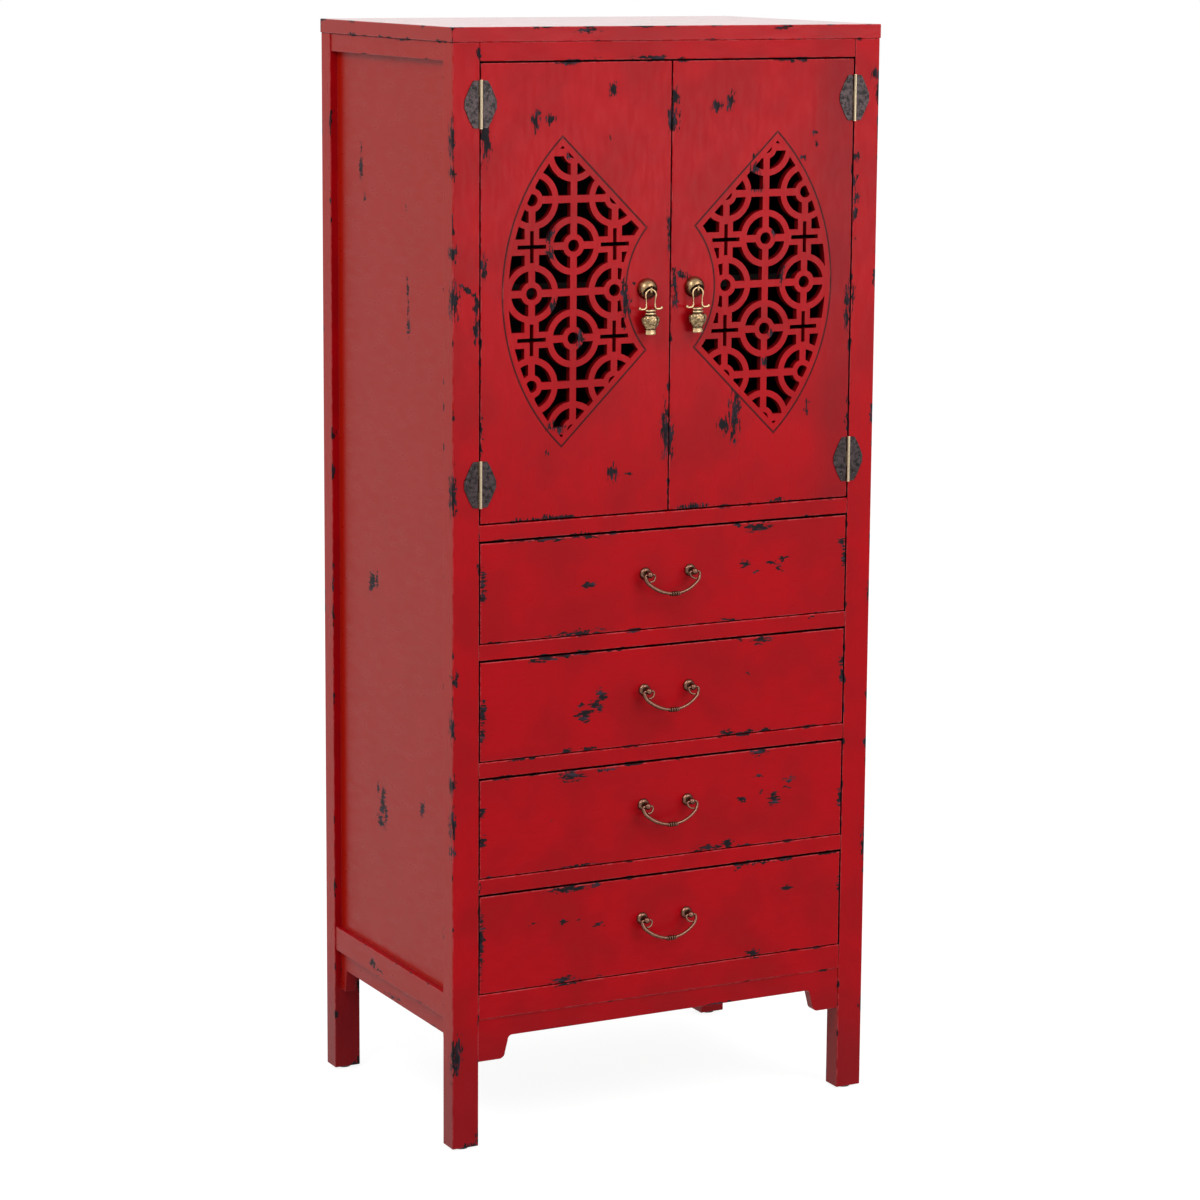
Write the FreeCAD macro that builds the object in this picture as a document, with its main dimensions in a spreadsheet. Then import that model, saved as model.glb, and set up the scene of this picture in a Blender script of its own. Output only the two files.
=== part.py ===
import FreeCAD, Part
import math
import os

import Sketcher
from FreeCAD import Rotation, Vector

# A red lacquered wedding cabinet: two doors with fan lattices over four drawers, on four post legs.
# The frame is +Z up, and the front faces -Y. The origin is on the floor, midway between the left and
# right ends, and midway between the back and the foremost point of the drawer handles.

DRAWERS = 4
SHELF_LEVELS = 2

SIZES = {
    # The whole cabinet
    "cabinet_width": 600,
    "cabinet_depth": 400,
    "cabinet_height": 1400,
    "top_thickness": 18,
    "top_overhang": 1,
    "edge_round": 1.2,
    # Posts and glides
    "post_width": 36,
    "post_depth": 28,
    "glide_radius": 9,
    "glide_height": 3,
    "glide_round": 1.5,
    # Rails, from the floor up
    "rail_foot_height": 167,
    "bottom_rail_height": 32,
    "drawer_opening_height": 129,
    "drawer_rail_height": 20,
    "door_rail_height": 20,
    "top_rail_height": 23,
    "side_rail_recess": 1.5,
    # Panels
    "side_panel_recess": 10,
    "side_panel_thickness": 9,
    "back_panel_recess": 8,
    "back_panel_thickness": 6,
    # Aprons
    "apron_thickness": 14,
    "front_apron_recess": 2,
    "side_apron_recess": 8.7,
    "apron_height": 25.5,
    "bracket_height": 55,
    "bracket_width": 38,
    "bracket_slope": 4,
    "bracket_lip": 6,
    "bracket_round": 8,
    "side_bracket_width": 19,
    "side_bracket_slope": 4,
    # Cupboard inside
    "floor_thickness": 16,
    "shelf_thickness": 14,
    "shelf_setback": 20,
    "cleat_height": 20,
    "cleat_thickness": 18,
    "cleat_setback": 25,
    "stop_drop": 12,
    # Drawers
    "drawer_front_thickness": 18,
    "drawer_side_gap": 1.5,
    "drawer_bottom_gap": 1.4,
    "drawer_top_gap": 2.6,
    "drawer_box_height": 104,
    "drawer_box_gap": 2,
    "drawer_wall": 12,
    "drawer_floor": 5,
    "drawer_floor_lift": 8,
    "runner_width": 40,
    "guide_height": 30,
    "slide_gap": 0.3,
    # Doors
    "door_thickness": 18,
    "door_side_gap": 1.5,
    "door_end_gap": 2,
    "door_meeting_gap": 1.5,
    # Fan lattice: its outline as shares of half the door's height and half its width
    "fan_tip_rise_share": 0.68,
    "fan_corner_rise_share": 0.2715,
    "fan_tip_share": 0.153,
    "fan_outer_share": 0.775,
    "fan_corner_share": 0.744,
    "fan_inner_share": 0.5255,
    "fan_border": 8,
    "fan_joint": 0.35,
    "fan_ledge": 5.5,
    "lattice_thickness": 9,
    "lattice_pitch": 57,
    "lattice_offset": 4.4,
    "ring_outer_radius": 36,
    "ring_inner_radius": 28,
    "hub_outer_radius": 14.6,
    "hub_hole_radius": 7.5,
    "spoke_width": 9,
    "cross_width": 19.5,
    "cross_slot_width": 5,
    "cross_slot_reach": 19.5,
    # Hinges
    "hinge_inset": 49,
    "leaf_reach": 21.5,
    "leaf_height": 57,
    "leaf_thickness": 1,
    "leaf_tip_height": 9,
    "leaf_shoulder_reach": 14.8,
    "leaf_shoulder_height": 39,
    "leaf_end_reach": 9.5,
    "leaf_round": 2.5,
    "barrel_radius": 2,
    "barrel_standoff": 2.3,
    "knuckle_gap": 0.3,
    "pin_radius": 1.1,
    "pin_clearance": 0.06,
    "pin_cap_height": 0.8,
    "nail_end_reach": 9.5,
    "nail_end_rise": 20.3,
    "nail_tip_reach": 17.3,
    "nail_head_radius": 2.2,
    "nail_head_height": 0.8,
    "nail_shank_radius": 0.9,
    "nail_length": 9,
    "nail_clearance": 0.05,
    # Door pulls
    "pull_spacing": 66.6,
    "dome_radius": 13.3,
    "lug_width": 6.4,
    "dome_slot_width": 6,
    "dome_slot_play": 0.7,
    "pull_standoff": 10.6,
    "loop_radius": 1.15,
    "loop_clearance": 0.35,
    "loop_spread": 12.6,
    "loop_bend": 2.2,
    "loop_drop": 26,
    "arm_reach": 16,
    "arm_rise": 2.2,
    "arm_ball_radius": 1.9,
    "collar_height": 6.4,
    "collar_half_width": 7.9,
    "collar_half_depth": 4.6,
    "collar_groove": 1.2,
    "vase_height": 23.6,
    "vase_belly_share": 0.62,
    "vase_half_width": 12.4,
    "vase_half_depth": 7,
    "vase_waist_half_width": 5.9,
    "vase_waist_half_depth": 3.9,
    "foot_height": 6.6,
    "foot_half_width": 7.8,
    "foot_half_depth": 4.8,
    # Drawer handles
    "handle_rise": 8.5,
    "handle_spacing": 64,
    "handle_base_radius": 8,
    "handle_base_height": 1.4,
    "handle_base_crown": 2.4,
    "handle_neck_radius": 2.8,
    "handle_ball_radius": 4.3,
    "handle_standoff": 13,
    "bail_radius": 1.85,
    "bail_side_reach": 7,
    "bail_corner_radius": 14,
    "bail_drop": 26,
    "bail_tilt": 17.3,
    "bail_ring_radius": 3.4,
    "bail_ring_width": 1.8,
    "bail_ring_spacing": 4.7,
    "bail_sleeve_radius": 2.6,
    "bail_sleeve_width": 11,
    "hook_radius": 1.3,
    "hook_clearance": 0.08,
    "hook_bend": 2.1,
    "hook_curl_radius": 7,
    "hook_curl_angle": 105,
    # One overrun for every cut
    "overrun": 2,
}

doc = FreeCAD.newDocument("wedding_cabinet")
SUB_PARTS = []


def make_sheet():
    """The driving sizes, one cell each, with an alias."""
    sheet = doc.addObject("Spreadsheet::Sheet", "Sizes")
    for row, (alias, value) in enumerate(SIZES.items(), start=1):
        sheet.set(f"A{row}", alias)
        sheet.set(f"B{row}", str(value))
        sheet.setAlias(f"B{row}", alias)
    doc.recompute()
    return sheet


sheet = make_sheet()


class Size:
    """A size worked out from the sheet: its formula, and the value that it has now."""

    def __init__(self, formula, value):
        self.formula = formula
        self.value = value

    def __add__(self, other):
        other = as_size(other)
        return Size(f"({self.formula} + {other.formula})", self.value + other.value)

    def __sub__(self, other):
        other = as_size(other)
        return Size(f"({self.formula} - {other.formula})", self.value - other.value)

    def __mul__(self, other):
        other = as_size(other)
        return Size(f"({self.formula} * {other.formula})", self.value * other.value)

    def __truediv__(self, other):
        other = as_size(other)
        return Size(f"({self.formula} / {other.formula})", self.value / other.value)

    def __neg__(self):
        return Size(f"(-{self.formula})", -self.value)

    __radd__ = __add__
    __rmul__ = __mul__


def as_size(item):
    return item if isinstance(item, Size) else Size(repr(item), item)


def sheet_size(alias):
    return Size(f"Sizes.{alias}", float(sheet.get(alias)))


def cosine(angle):
    return Size(f"cos({angle.formula})", math.cos(math.radians(angle.value)))


def sine(angle):
    return Size(f"sin({angle.formula})", math.sin(math.radians(angle.value)))


class Sheet:
    """Sizes by name, as S.cabinet_width."""

    def __getattr__(self, alias):
        return sheet_size(alias)


S = Sheet()
ZERO = Size("0", 0.0)
QUARTER_TURN = 90

# Levels above the floor
bottom_rail_top = S.rail_foot_height + S.bottom_rail_height
drawer_pitch = S.drawer_opening_height + S.drawer_rail_height
door_rail_foot = bottom_rail_top + drawer_pitch * DRAWERS - S.drawer_rail_height
door_opening_foot = door_rail_foot + S.door_rail_height
top_board_foot = S.cabinet_height - S.top_thickness
door_opening_top = top_board_foot - S.top_rail_height
door_opening_height = door_opening_top - door_opening_foot
door_height = door_opening_height - S.door_end_gap * 2
door_middle = door_opening_foot + door_opening_height / 2

# Places from front to back
bail_reach = S.handle_standoff + S.bail_drop * sine(S.bail_tilt) + S.bail_ring_radius
front_edge = (bail_reach - S.top_overhang - S.cabinet_depth) / 2
back_edge = front_edge + S.cabinet_depth
front_face = front_edge + S.top_overhang
back_face = back_edge - S.top_overhang
inner_front = front_face + S.post_depth
inner_back = back_face - S.post_depth
inner_depth = inner_back - inner_front

# Places from the middle plane outwards
post_outside = S.cabinet_width / 2 - S.top_overhang
post_inside = post_outside - S.post_width
opening_width = post_inside * 2
back_panel_front = back_face - S.back_panel_recess - S.back_panel_thickness
side_panel_outside = post_outside - S.side_panel_recess
side_panel_inside = side_panel_outside - S.side_panel_thickness

door_width = (opening_width - S.door_side_gap * 2 - S.door_meeting_gap) / 2
door_inner_edge = S.door_meeting_gap / 2
door_centre = door_inner_edge + door_width / 2
hinge_line = post_inside - S.door_side_gap / 2


def drawer_opening_foot(level):
    return bottom_rail_top + drawer_pitch * level


def bind(item, **formulas):
    """Ties properties to the sheet; a double underscore stands for a dot in the property's path."""
    for path, size in formulas.items():
        item.setExpression(path.replace("__", "."), as_size(size).formula)
    return item


def place(item, x=ZERO, y=ZERO, z=ZERO):
    return bind(item, Placement__Base__x=x, Placement__Base__y=y, Placement__Base__z=z)


def sub_part(item, label):
    """Names a finished sub-part, which becomes one file."""
    item.Label = label
    SUB_PARTS.append(item)
    return item


def new_body(name):
    return doc.addObject("PartDesign::Body", name)


def add_box(body, name, length, width, height, kind="Additive"):
    box = body.newObject(f"PartDesign::{kind}Box", name)
    return bind(box, Length=length, Width=width, Height=height)


def ease_edges(body, feature, radius):
    """Rounds every edge of a body's feature."""
    doc.recompute()
    ease = body.newObject("PartDesign::Fillet", "eased_edges")
    ease.Base = (feature, [""])
    ease.UseAllEdges = True
    return bind(ease, Radius=radius)


def board(name, x, y, z, length, width, height, eased=True):
    """A board between x, y, z and x + length, y + width, z + height."""
    body = new_body(name)
    blank = add_box(body, "blank", length, width, height)
    if eased:
        ease_edges(body, blank, S.edge_round)
    return place(body, x, y, z)


def mirrored(side, near, far):
    """The lower x of a span that runs from near to far on one side of the middle plane."""
    return near if side > 0 else -far


def group(label, items):
    """Like solids that share a file."""
    compound = doc.addObject("Part::Compound", f"{label}_group")
    compound.Links = items
    return sub_part(compound, label)


def sketch_on(body, name, role):
    """A sketch on one of the body's own origin planes."""
    plane = next(item for item in body.Origin.OriginFeatures if item.Role == role)
    sketch = body.newObject("Sketcher::SketchObject", name)
    sketch.AttachmentSupport = [(plane, "")]
    sketch.MapMode = "FlatFace"
    return sketch


def pin_point(sketch, edge, end, point):
    """Ties an edge's end to a place given by two sizes."""
    for kind, size in zip(("DistanceX", "DistanceY"), point):
        size = as_size(size)
        row = sketch.addConstraint(Sketcher.Constraint(kind, -1, 1, edge, end, size.value))
        sketch.setExpression(f"Constraints[{row}]", size.formula)


def arc_between(start, end, radius, turns_left):
    """An arc of the given radius from start to end, shorter than a half turn."""
    a = Vector(start[0].value, start[1].value, 0)
    b = Vector(end[0].value, end[1].value, 0)
    chord = b - a
    rise = math.sqrt(max(radius.value**2 - (chord.Length / 2) ** 2, 0))
    across = Vector(-chord.y, chord.x, 0).normalize()
    centre = (a + b) / 2 + across * (rise if turns_left else -rise)
    first, last = (a, b) if turns_left else (b, a)
    angles = [math.atan2(p.y - centre.y, p.x - centre.x) for p in (first, last)]
    circle = Part.Circle(centre, Vector(0, 0, 1), radius.value)
    return Part.ArcOfCircle(circle, *angles)


def draw_path(sketch, points, closed=True):
    """Draws lines and arcs through points of (x, y) or (x, y, radius, turns_left), where the last
    two make the stretch that leads to the point an arc. Every end is tied to its sizes."""
    points = [tuple(as_size(v) for v in p[:2]) + tuple(p[2:]) for p in points]
    legs = list(zip(points, points[1:] + points[:1] if closed else points[1:]))
    ends = []
    for start, end in legs:
        if len(end) == 4:
            radius = as_size(end[2])
            edge = sketch.addGeometry(arc_between(start, end, radius, end[3]), False)
            row = sketch.addConstraint(Sketcher.Constraint("Radius", edge, radius.value))
            sketch.setExpression(f"Constraints[{row}]", radius.formula)
            ends.append((edge, 1, 2) if end[3] else (edge, 2, 1))
        else:
            corners = [Vector(p[0].value, p[1].value, 0) for p in (start, end)]
            edge = sketch.addGeometry(Part.LineSegment(*corners), False)
            ends.append((edge, 1, 2))
        pin_point(sketch, edge, ends[-1][1], start)
    if not closed:
        pin_point(sketch, ends[-1][0], ends[-1][2], points[-1])
    following = ends[1:] + ends[:1] if closed else ends[1:]
    for (edge, _, end), (next_edge, start, _) in zip(ends, following):
        sketch.addConstraint(Sketcher.Constraint("Coincident", edge, end, next_edge, start))
    return sketch


def top_board():
    """The flat top, which laps the posts by a hair all round."""
    item = board(
        "top_board_body",
        -(S.cabinet_width / 2), front_edge, top_board_foot,
        S.cabinet_width, S.cabinet_depth, S.top_thickness,
    )
    sub_part(item, "top_board")


def hinge_levels():
    """Heights of the hinge centres."""
    reach = door_height / 2 - S.hinge_inset
    return [door_middle - reach, door_middle + reach]


def nail_places():
    """Places of one leaf's nails: reach from the hinge line, and rise from the hinge's centre."""
    return [
        (S.nail_end_reach, S.nail_end_rise),
        (S.nail_end_reach, -S.nail_end_rise),
        (S.nail_tip_reach, ZERO),
    ]


def all_nails(side, outwards):
    """(x, z) of each nail on one side of one hinge line; outwards is 1 on the post, -1 on the door."""
    return [
        ((hinge_line + reach * outwards) * side, level + rise)
        for level in hinge_levels()
        for reach, rise in nail_places()
    ]


def lay_along_y(item, x, y, z):
    """Turns an upright cylinder or turned piece so that its foot is at y and it points to -Y."""
    item.Placement.Rotation = Rotation(Vector(1, 0, 0), QUARTER_TURN)
    return place(item, x, y, z)


def post(label, side, front):
    """A post that runs from its glide to the top board."""
    height = top_board_foot - S.glide_height
    body = new_body(f"{label}_body")
    blank = add_box(body, "blank", S.post_width, S.post_depth, height)
    last = ease_edges(body, blank, S.edge_round)
    corner = mirrored(side, post_inside, post_outside)
    if front:
        for x, z in all_nails(side, 1):
            last = body.newObject("PartDesign::SubtractiveCylinder", "nail_hole")
            bind(last, Radius=S.nail_shank_radius + S.nail_clearance)
            bind(last, Height=S.nail_length + S.nail_clearance + S.overrun)
            depth = S.nail_length + S.nail_clearance
            lay_along_y(last, x - corner, depth, z - S.glide_height)
    place(body, corner, front_face if front else inner_back, S.glide_height)
    sub_part(body, label)


def posts():
    for side, side_name in ((-1, "left"), (1, "right")):
        post(f"front_{side_name}_post", side, True)
        post(f"rear_{side_name}_post", side, False)


def foot_glides():
    """A low round glide under each leg, on which the cabinet stands."""
    glides = []
    for side in (-1, 1):
        for y in (front_face + S.post_depth / 2, back_face - S.post_depth / 2):
            body = new_body("glide_body")
            disc = body.newObject("PartDesign::AdditiveCylinder", "disc")
            bind(disc, Radius=S.glide_radius, Height=S.glide_height)
            doc.recompute()
            rounding = body.newObject("PartDesign::Fillet", "rounded_foot")
            rounding.Base = (disc, ["Edge3"])
            bind(rounding, Radius=S.glide_round)
            place(body, (post_outside - S.post_width / 2) * side, y)
            glides.append(body)
    group("foot_glides", glides)


def front_rail(name, foot, height):
    return board(name, -post_inside, front_face, foot, opening_width, S.post_depth, height)


def front_rails():
    sub_part(front_rail("top_rail_body", door_opening_top, S.top_rail_height), "front_top_rail")
    sub_part(front_rail("door_rail_body", door_rail_foot, S.door_rail_height), "door_rail")
    sub_part(
        front_rail("bottom_rail_body", S.rail_foot_height, S.bottom_rail_height),
        "front_bottom_rail",
    )
    between = [
        front_rail(
            "drawer_rail_body", drawer_opening_foot(level) - S.drawer_rail_height,
            S.drawer_rail_height,
        )
        for level in range(1, DRAWERS)
    ]
    group("drawer_rails", between)


def rear_rails():
    for label, foot, height in (
        ("rear_top_rail", door_opening_top, S.top_rail_height),
        ("rear_bottom_rail", S.rail_foot_height, S.bottom_rail_height),
    ):
        item = board(f"{label}_body", -post_inside, inner_back, foot, opening_width, S.post_depth, height)
        sub_part(item, label)


def side_rails():
    """The top and bottom rails of the two sides, set back a little from the posts, and level with
    the side panels on the inside."""
    outside = post_outside - S.side_rail_recess
    for label, foot, height in (
        ("side_top_rails", door_opening_top, S.top_rail_height),
        ("side_bottom_rails", S.rail_foot_height, S.bottom_rail_height),
    ):
        pair = [
            board(
                f"{label}_body", mirrored(side, side_panel_inside, outside), inner_front, foot,
                outside - side_panel_inside, inner_depth, height,
            )
            for side in (-1, 1)
        ]
        group(label, pair)


def panels():
    """Thin boards that close the two sides and the back between the posts and rails."""
    height = door_opening_top - bottom_rail_top
    for side, label in ((-1, "left_panel"), (1, "right_panel")):
        item = board(
            f"{label}_body", mirrored(side, side_panel_inside, side_panel_outside), inner_front,
            bottom_rail_top, S.side_panel_thickness, inner_depth, height, eased=False,
        )
        sub_part(item, label)
    item = board(
        "back_panel_body", -post_inside, back_panel_front, bottom_rail_top,
        opening_width, S.back_panel_thickness, height, eased=False,
    )
    sub_part(item, "back_panel")


def front_apron():
    """The front apron, drawn from its left end: two round-cornered brackets and a level middle."""
    body = new_body("front_apron_body")
    sketch = sketch_on(body, "outline", "XZ_Plane")
    half = opening_width / 2
    side_top = half - S.bracket_width - S.bracket_slope
    lip_start = side_top - S.bracket_lip
    low = -S.bracket_height
    points = [(half, ZERO), (-half, ZERO)]
    points += [(-half, low), (-half + S.bracket_width - S.bracket_round, low)]
    points += [(-half + S.bracket_width, low + S.bracket_round, S.bracket_round, True)]
    points += [(-side_top, -S.apron_height - S.bracket_lip)]
    points += [(-lip_start, -S.apron_height, S.bracket_lip, False)]
    points += [(lip_start, -S.apron_height), (side_top, -S.apron_height - S.bracket_lip, S.bracket_lip, False)]
    points += [(half - S.bracket_width, low + S.bracket_round)]
    points += [(half - S.bracket_width + S.bracket_round, low, S.bracket_round, True), (half, low)]
    draw_path(sketch, points)
    pad = body.newObject("PartDesign::Pad", "apron")
    pad.Profile = (sketch, [""])
    bind(pad, Length=S.apron_thickness)
    ease_edges(body, pad, S.edge_round / 2)
    place(body, ZERO, front_face + S.front_apron_recess + S.apron_thickness, S.rail_foot_height)
    sub_part(body, "front_apron")


def side_aprons():
    """A shaped apron under each side's bottom rail, set well back, with a small bracket at each end."""
    pair = []
    outside = post_outside - S.side_apron_recess
    for side in (-1, 1):
        body = new_body("side_apron_body")
        sketch = sketch_on(body, "outline", "YZ_Plane")
        half = inner_depth / 2
        shelf = half - S.side_bracket_width
        points = [
            (-half, ZERO), (-half, -S.bracket_height), (-shelf - S.side_bracket_slope, -S.bracket_height),
            (-shelf, -S.apron_height), (shelf, -S.apron_height),
            (shelf + S.side_bracket_slope, -S.bracket_height), (half, -S.bracket_height), (half, ZERO),
        ]
        draw_path(sketch, points)
        pad = body.newObject("PartDesign::Pad", "apron")
        pad.Profile = (sketch, [""])
        bind(pad, Length=S.apron_thickness)
        ease_edges(body, pad, S.edge_round / 2)
        corner = mirrored(side, outside - S.apron_thickness, outside)
        pair.append(place(body, corner, (inner_front + inner_back) / 2, S.rail_foot_height))
    group("side_aprons", pair)


def cupboard_inside():
    """The cupboard's floor, its shelf on two cleats, and the strip that stops the doors."""
    floor = board(
        "floor_body", -side_panel_inside, inner_front, door_opening_foot - S.floor_thickness,
        side_panel_inside * 2, inner_depth, S.floor_thickness, eased=False,
    )
    sub_part(floor, "cupboard_floor")
    shelf_foot = door_opening_foot + door_opening_height / SHELF_LEVELS - S.shelf_thickness / 2
    shelf = board(
        "shelf_body", -side_panel_inside, inner_front + S.shelf_setback, shelf_foot,
        side_panel_inside * 2, inner_depth - S.shelf_setback, S.shelf_thickness, eased=False,
    )
    sub_part(shelf, "shelf")
    cleats = [
        board(
            "cleat_body",
            mirrored(side, side_panel_inside - S.cleat_thickness, side_panel_inside),
            inner_front + S.cleat_setback, shelf_foot - S.cleat_height,
            S.cleat_thickness, inner_depth - S.cleat_setback * 2, S.cleat_height, eased=False,
        )
        for side in (-1, 1)
    ]
    group("shelf_cleats", cleats)
    stop_front = front_face + S.door_thickness + S.slide_gap
    stop = board(
        "stop_body", -post_inside, stop_front, door_opening_top - S.stop_drop,
        opening_width, inner_front - stop_front, S.stop_drop, eased=False,
    )
    sub_part(stop, "door_stop")


def drawer_runners():
    """Under each end of each drawer a runner carries it, and a guide on the runner steers it."""
    runners, guides = [], []
    for level in range(DRAWERS):
        foot = drawer_opening_foot(level) - S.drawer_rail_height
        for side in (-1, 1):
            inside = side_panel_inside - S.runner_width
            runners.append(
                board(
                    "runner_body", mirrored(side, inside, side_panel_inside), inner_front, foot,
                    S.runner_width, inner_depth, S.drawer_rail_height, eased=False,
                )
            )
            guides.append(
                board(
                    "guide_body", mirrored(side, post_inside, side_panel_inside), inner_front,
                    foot + S.drawer_rail_height, side_panel_inside - post_inside, inner_depth,
                    S.guide_height, eased=False,
                )
            )
    group("drawer_runners", runners)
    group("drawer_guides", guides)


def value(size):
    return as_size(size).value


def fan_point(side, out, rise):
    """A point of a fan, from the middle of its door; out counts towards the hinges."""
    return Vector((value(door_centre) + out) * side, 0, value(door_middle) + rise)


def fan_reach(share, whole):
    return value(share) * value(whole) / 2


def far_crossing(corner, along, centre_out, radius):
    """Where a line through a corner last crosses a circle whose centre lies on the fan's middle line."""
    to_centre = Vector(centre_out, 0, 0) - corner
    middle = to_centre.dot(along)
    half_chord = math.sqrt(radius**2 - to_centre.Length**2 + middle**2)
    return corner + along * (middle + half_chord)


def fan_face(side, outset):
    """The fan's outline, widened by outset: two straight edges, a long arc that bulges towards the
    hinges, and a short arc that is hollow. An outset keeps the arcs' centres and moves the edges."""
    tip_out = fan_reach(S.fan_tip_share, door_width)
    tip_rise = fan_reach(S.fan_tip_rise_share, door_height)
    corner_out = -fan_reach(S.fan_corner_share, door_width)
    corner_rise = fan_reach(S.fan_corner_rise_share, door_height)
    outer = fan_reach(S.fan_outer_share, door_width)
    inner = -fan_reach(S.fan_inner_share, door_width)
    outer_radius = ((outer - tip_out) ** 2 + tip_rise**2) / (outer - tip_out) / 2
    inner_radius = ((inner - corner_out) ** 2 + corner_rise**2) / (inner - corner_out) / 2
    along = Vector(tip_out - corner_out, tip_rise - corner_rise, 0).normalize()
    edge = Vector(corner_out, corner_rise, 0) + Vector(-along.y, along.x, 0) * outset
    tip = far_crossing(edge, along, outer - outer_radius, outer_radius + outset)
    corner = far_crossing(edge, along, inner - inner_radius, inner_radius - outset)
    upper_tip, lower_tip = fan_point(side, tip.x, tip.y), fan_point(side, tip.x, -tip.y)
    upper_corner, lower_corner = fan_point(side, corner.x, corner.y), fan_point(side, corner.x, -corner.y)
    edges = [
        Part.Arc(lower_tip, fan_point(side, outer + outset, 0), upper_tip).toShape(),
        Part.LineSegment(upper_tip, upper_corner).toShape(),
        Part.Arc(upper_corner, fan_point(side, inner - outset, 0), lower_corner).toShape(),
        Part.LineSegment(lower_corner, lower_tip).toShape(),
    ]
    return Part.Face(Part.Wire(edges))


def fan_prism(side, outset, start, depth):
    """A prism on the fan's outline, from start behind the door's face to start + depth."""
    face = fan_face(side, outset)
    face.translate(Vector(0, value(front_face) + start, 0))
    return face.extrude(Vector(0, depth, 0))


def lattice_disc(centre, radius, depth):
    return Part.makeCylinder(radius, depth, centre, Vector(0, 1, 0))


def lattice_cross(centre, reaches, half, depth):
    """Two crossed bars of one width; reaches are how far they go left, right, down and up."""
    left, right, down, up = reaches
    level = Part.makeBox(left + right, depth, half * 2, centre - Vector(left, 0, half))
    upright = Part.makeBox(half * 2, depth, down + up, centre - Vector(half, 0, down))
    return level.fuse(upright)


def ring_node(centre, depth):
    """A ring and a small hub with a hole, joined by four spokes."""
    ring = lattice_disc(centre, value(S.ring_outer_radius), depth)
    ring = ring.cut(lattice_disc(centre, value(S.ring_inner_radius), depth))
    hub = lattice_disc(centre, value(S.hub_outer_radius), depth)
    reach = value(S.ring_outer_radius + S.ring_inner_radius) / 2
    spokes = lattice_cross(centre, [reach] * 4, value(S.spoke_width) / 2, depth)
    return ring.multiFuse([hub, spokes]), lattice_disc(centre, value(S.hub_hole_radius), depth)


def open_cross_node(centre, reaches, depth):
    """Two broad bars that cross, with a narrow cross cut through them."""
    bars = lattice_cross(centre, reaches, value(S.cross_width) / 2, depth)
    slots = [value(S.cross_slot_reach)] * 4
    return bars, lattice_cross(centre, slots, value(S.cross_slot_width) / 2, depth)


def plain_cross_node(centre, reaches, depth):
    """Two narrow bars that cross."""
    return lattice_cross(centre, reaches, value(S.spoke_width) / 2, depth), None


def bar_reaches(side, column, row, columns, rows):
    """How far a crossing's bars go left, right, down and up: into the next ring, or on to the border."""
    to_ring = value(S.lattice_pitch) - value(S.ring_outer_radius + S.ring_inner_radius) / 2
    pitch = value(S.lattice_pitch)
    right, left = column * side >= columns, column * side <= -columns
    return [pitch if last else to_ring for last in (left, right, row <= -rows, row >= rows)]


def lattice_node(side, place_in_grid, grid, centre, depth):
    """The node at a column and row: rings stand where just one of the two is odd."""
    column, row = place_in_grid
    if (column + row) % 2:
        return ring_node(centre, depth)
    reaches = bar_reaches(side, column, row, *grid)
    if column % 2:
        return open_cross_node(centre, reaches, depth)
    return plain_cross_node(centre, reaches, depth)


def lattice(side, label):
    """The pierced fan that is let into a door: a border round rings, hubs, bars and open crosses.
    Columns count towards the hinges and rows count up."""
    depth = value(S.lattice_thickness)
    pitch = value(S.lattice_pitch)
    columns = math.floor(fan_reach(S.fan_outer_share, door_width) / pitch)
    rows = math.floor(fan_reach(S.fan_tip_rise_share, door_height) / pitch)
    bars, holes = [], []
    for column in range(-columns, columns + 1):
        for row in range(-rows, rows + 1):
            centre = fan_point(side, value(S.lattice_offset) + column * pitch, row * pitch)
            centre.y = value(front_face)
            solid, hole = lattice_node(side, (column, row), (columns, rows), centre, depth)
            bars.append(solid)
            holes += [hole] if hole else []
    plate = fan_prism(side, 0, 0, depth)
    opening = fan_prism(side, -value(S.fan_border), 0, depth)
    pattern = bars[0].multiFuse(bars[1:]).cut(Part.makeCompound(holes)).common(opening)
    item = doc.addObject("Part::Feature", f"{label}_plate")
    item.Shape = plate.cut(opening).fuse(pattern).removeSplitter()
    sub_part(item, label)


def door_panel(side, label):
    """A door board with a stepped fan opening: the lattice sits flush in front of the ledge."""
    blank = board(
        f"{label}_blank", mirrored(side, door_inner_edge, door_inner_edge + door_width), front_face,
        door_opening_foot + S.door_end_gap, door_width, S.door_thickness, door_height,
    )
    seat_depth = value(S.lattice_thickness)
    overrun = value(S.overrun)
    seat = fan_prism(side, value(S.fan_joint), -overrun, overrun + seat_depth)
    through = fan_prism(side, -value(S.fan_ledge), 0, value(S.door_thickness) + overrun)
    nail_radius = value(S.nail_shank_radius + S.nail_clearance)
    nail_depth = value(S.nail_length + S.nail_clearance) + overrun
    tools = [seat, through]
    for x, z in all_nails(side, -1):
        foot = Vector(value(x), value(front_face) - overrun, value(z))
        tools.append(Part.makeCylinder(nail_radius, nail_depth, foot, Vector(0, 1, 0)))
    cutter = doc.addObject("Part::Feature", f"{label}_cutter")
    cutter.Shape = Part.makeCompound(tools)
    cut = doc.addObject("Part::Cut", f"{label}_cut")
    cut.Base = blank
    cut.Tool = cutter
    sub_part(cut, label)


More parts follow.
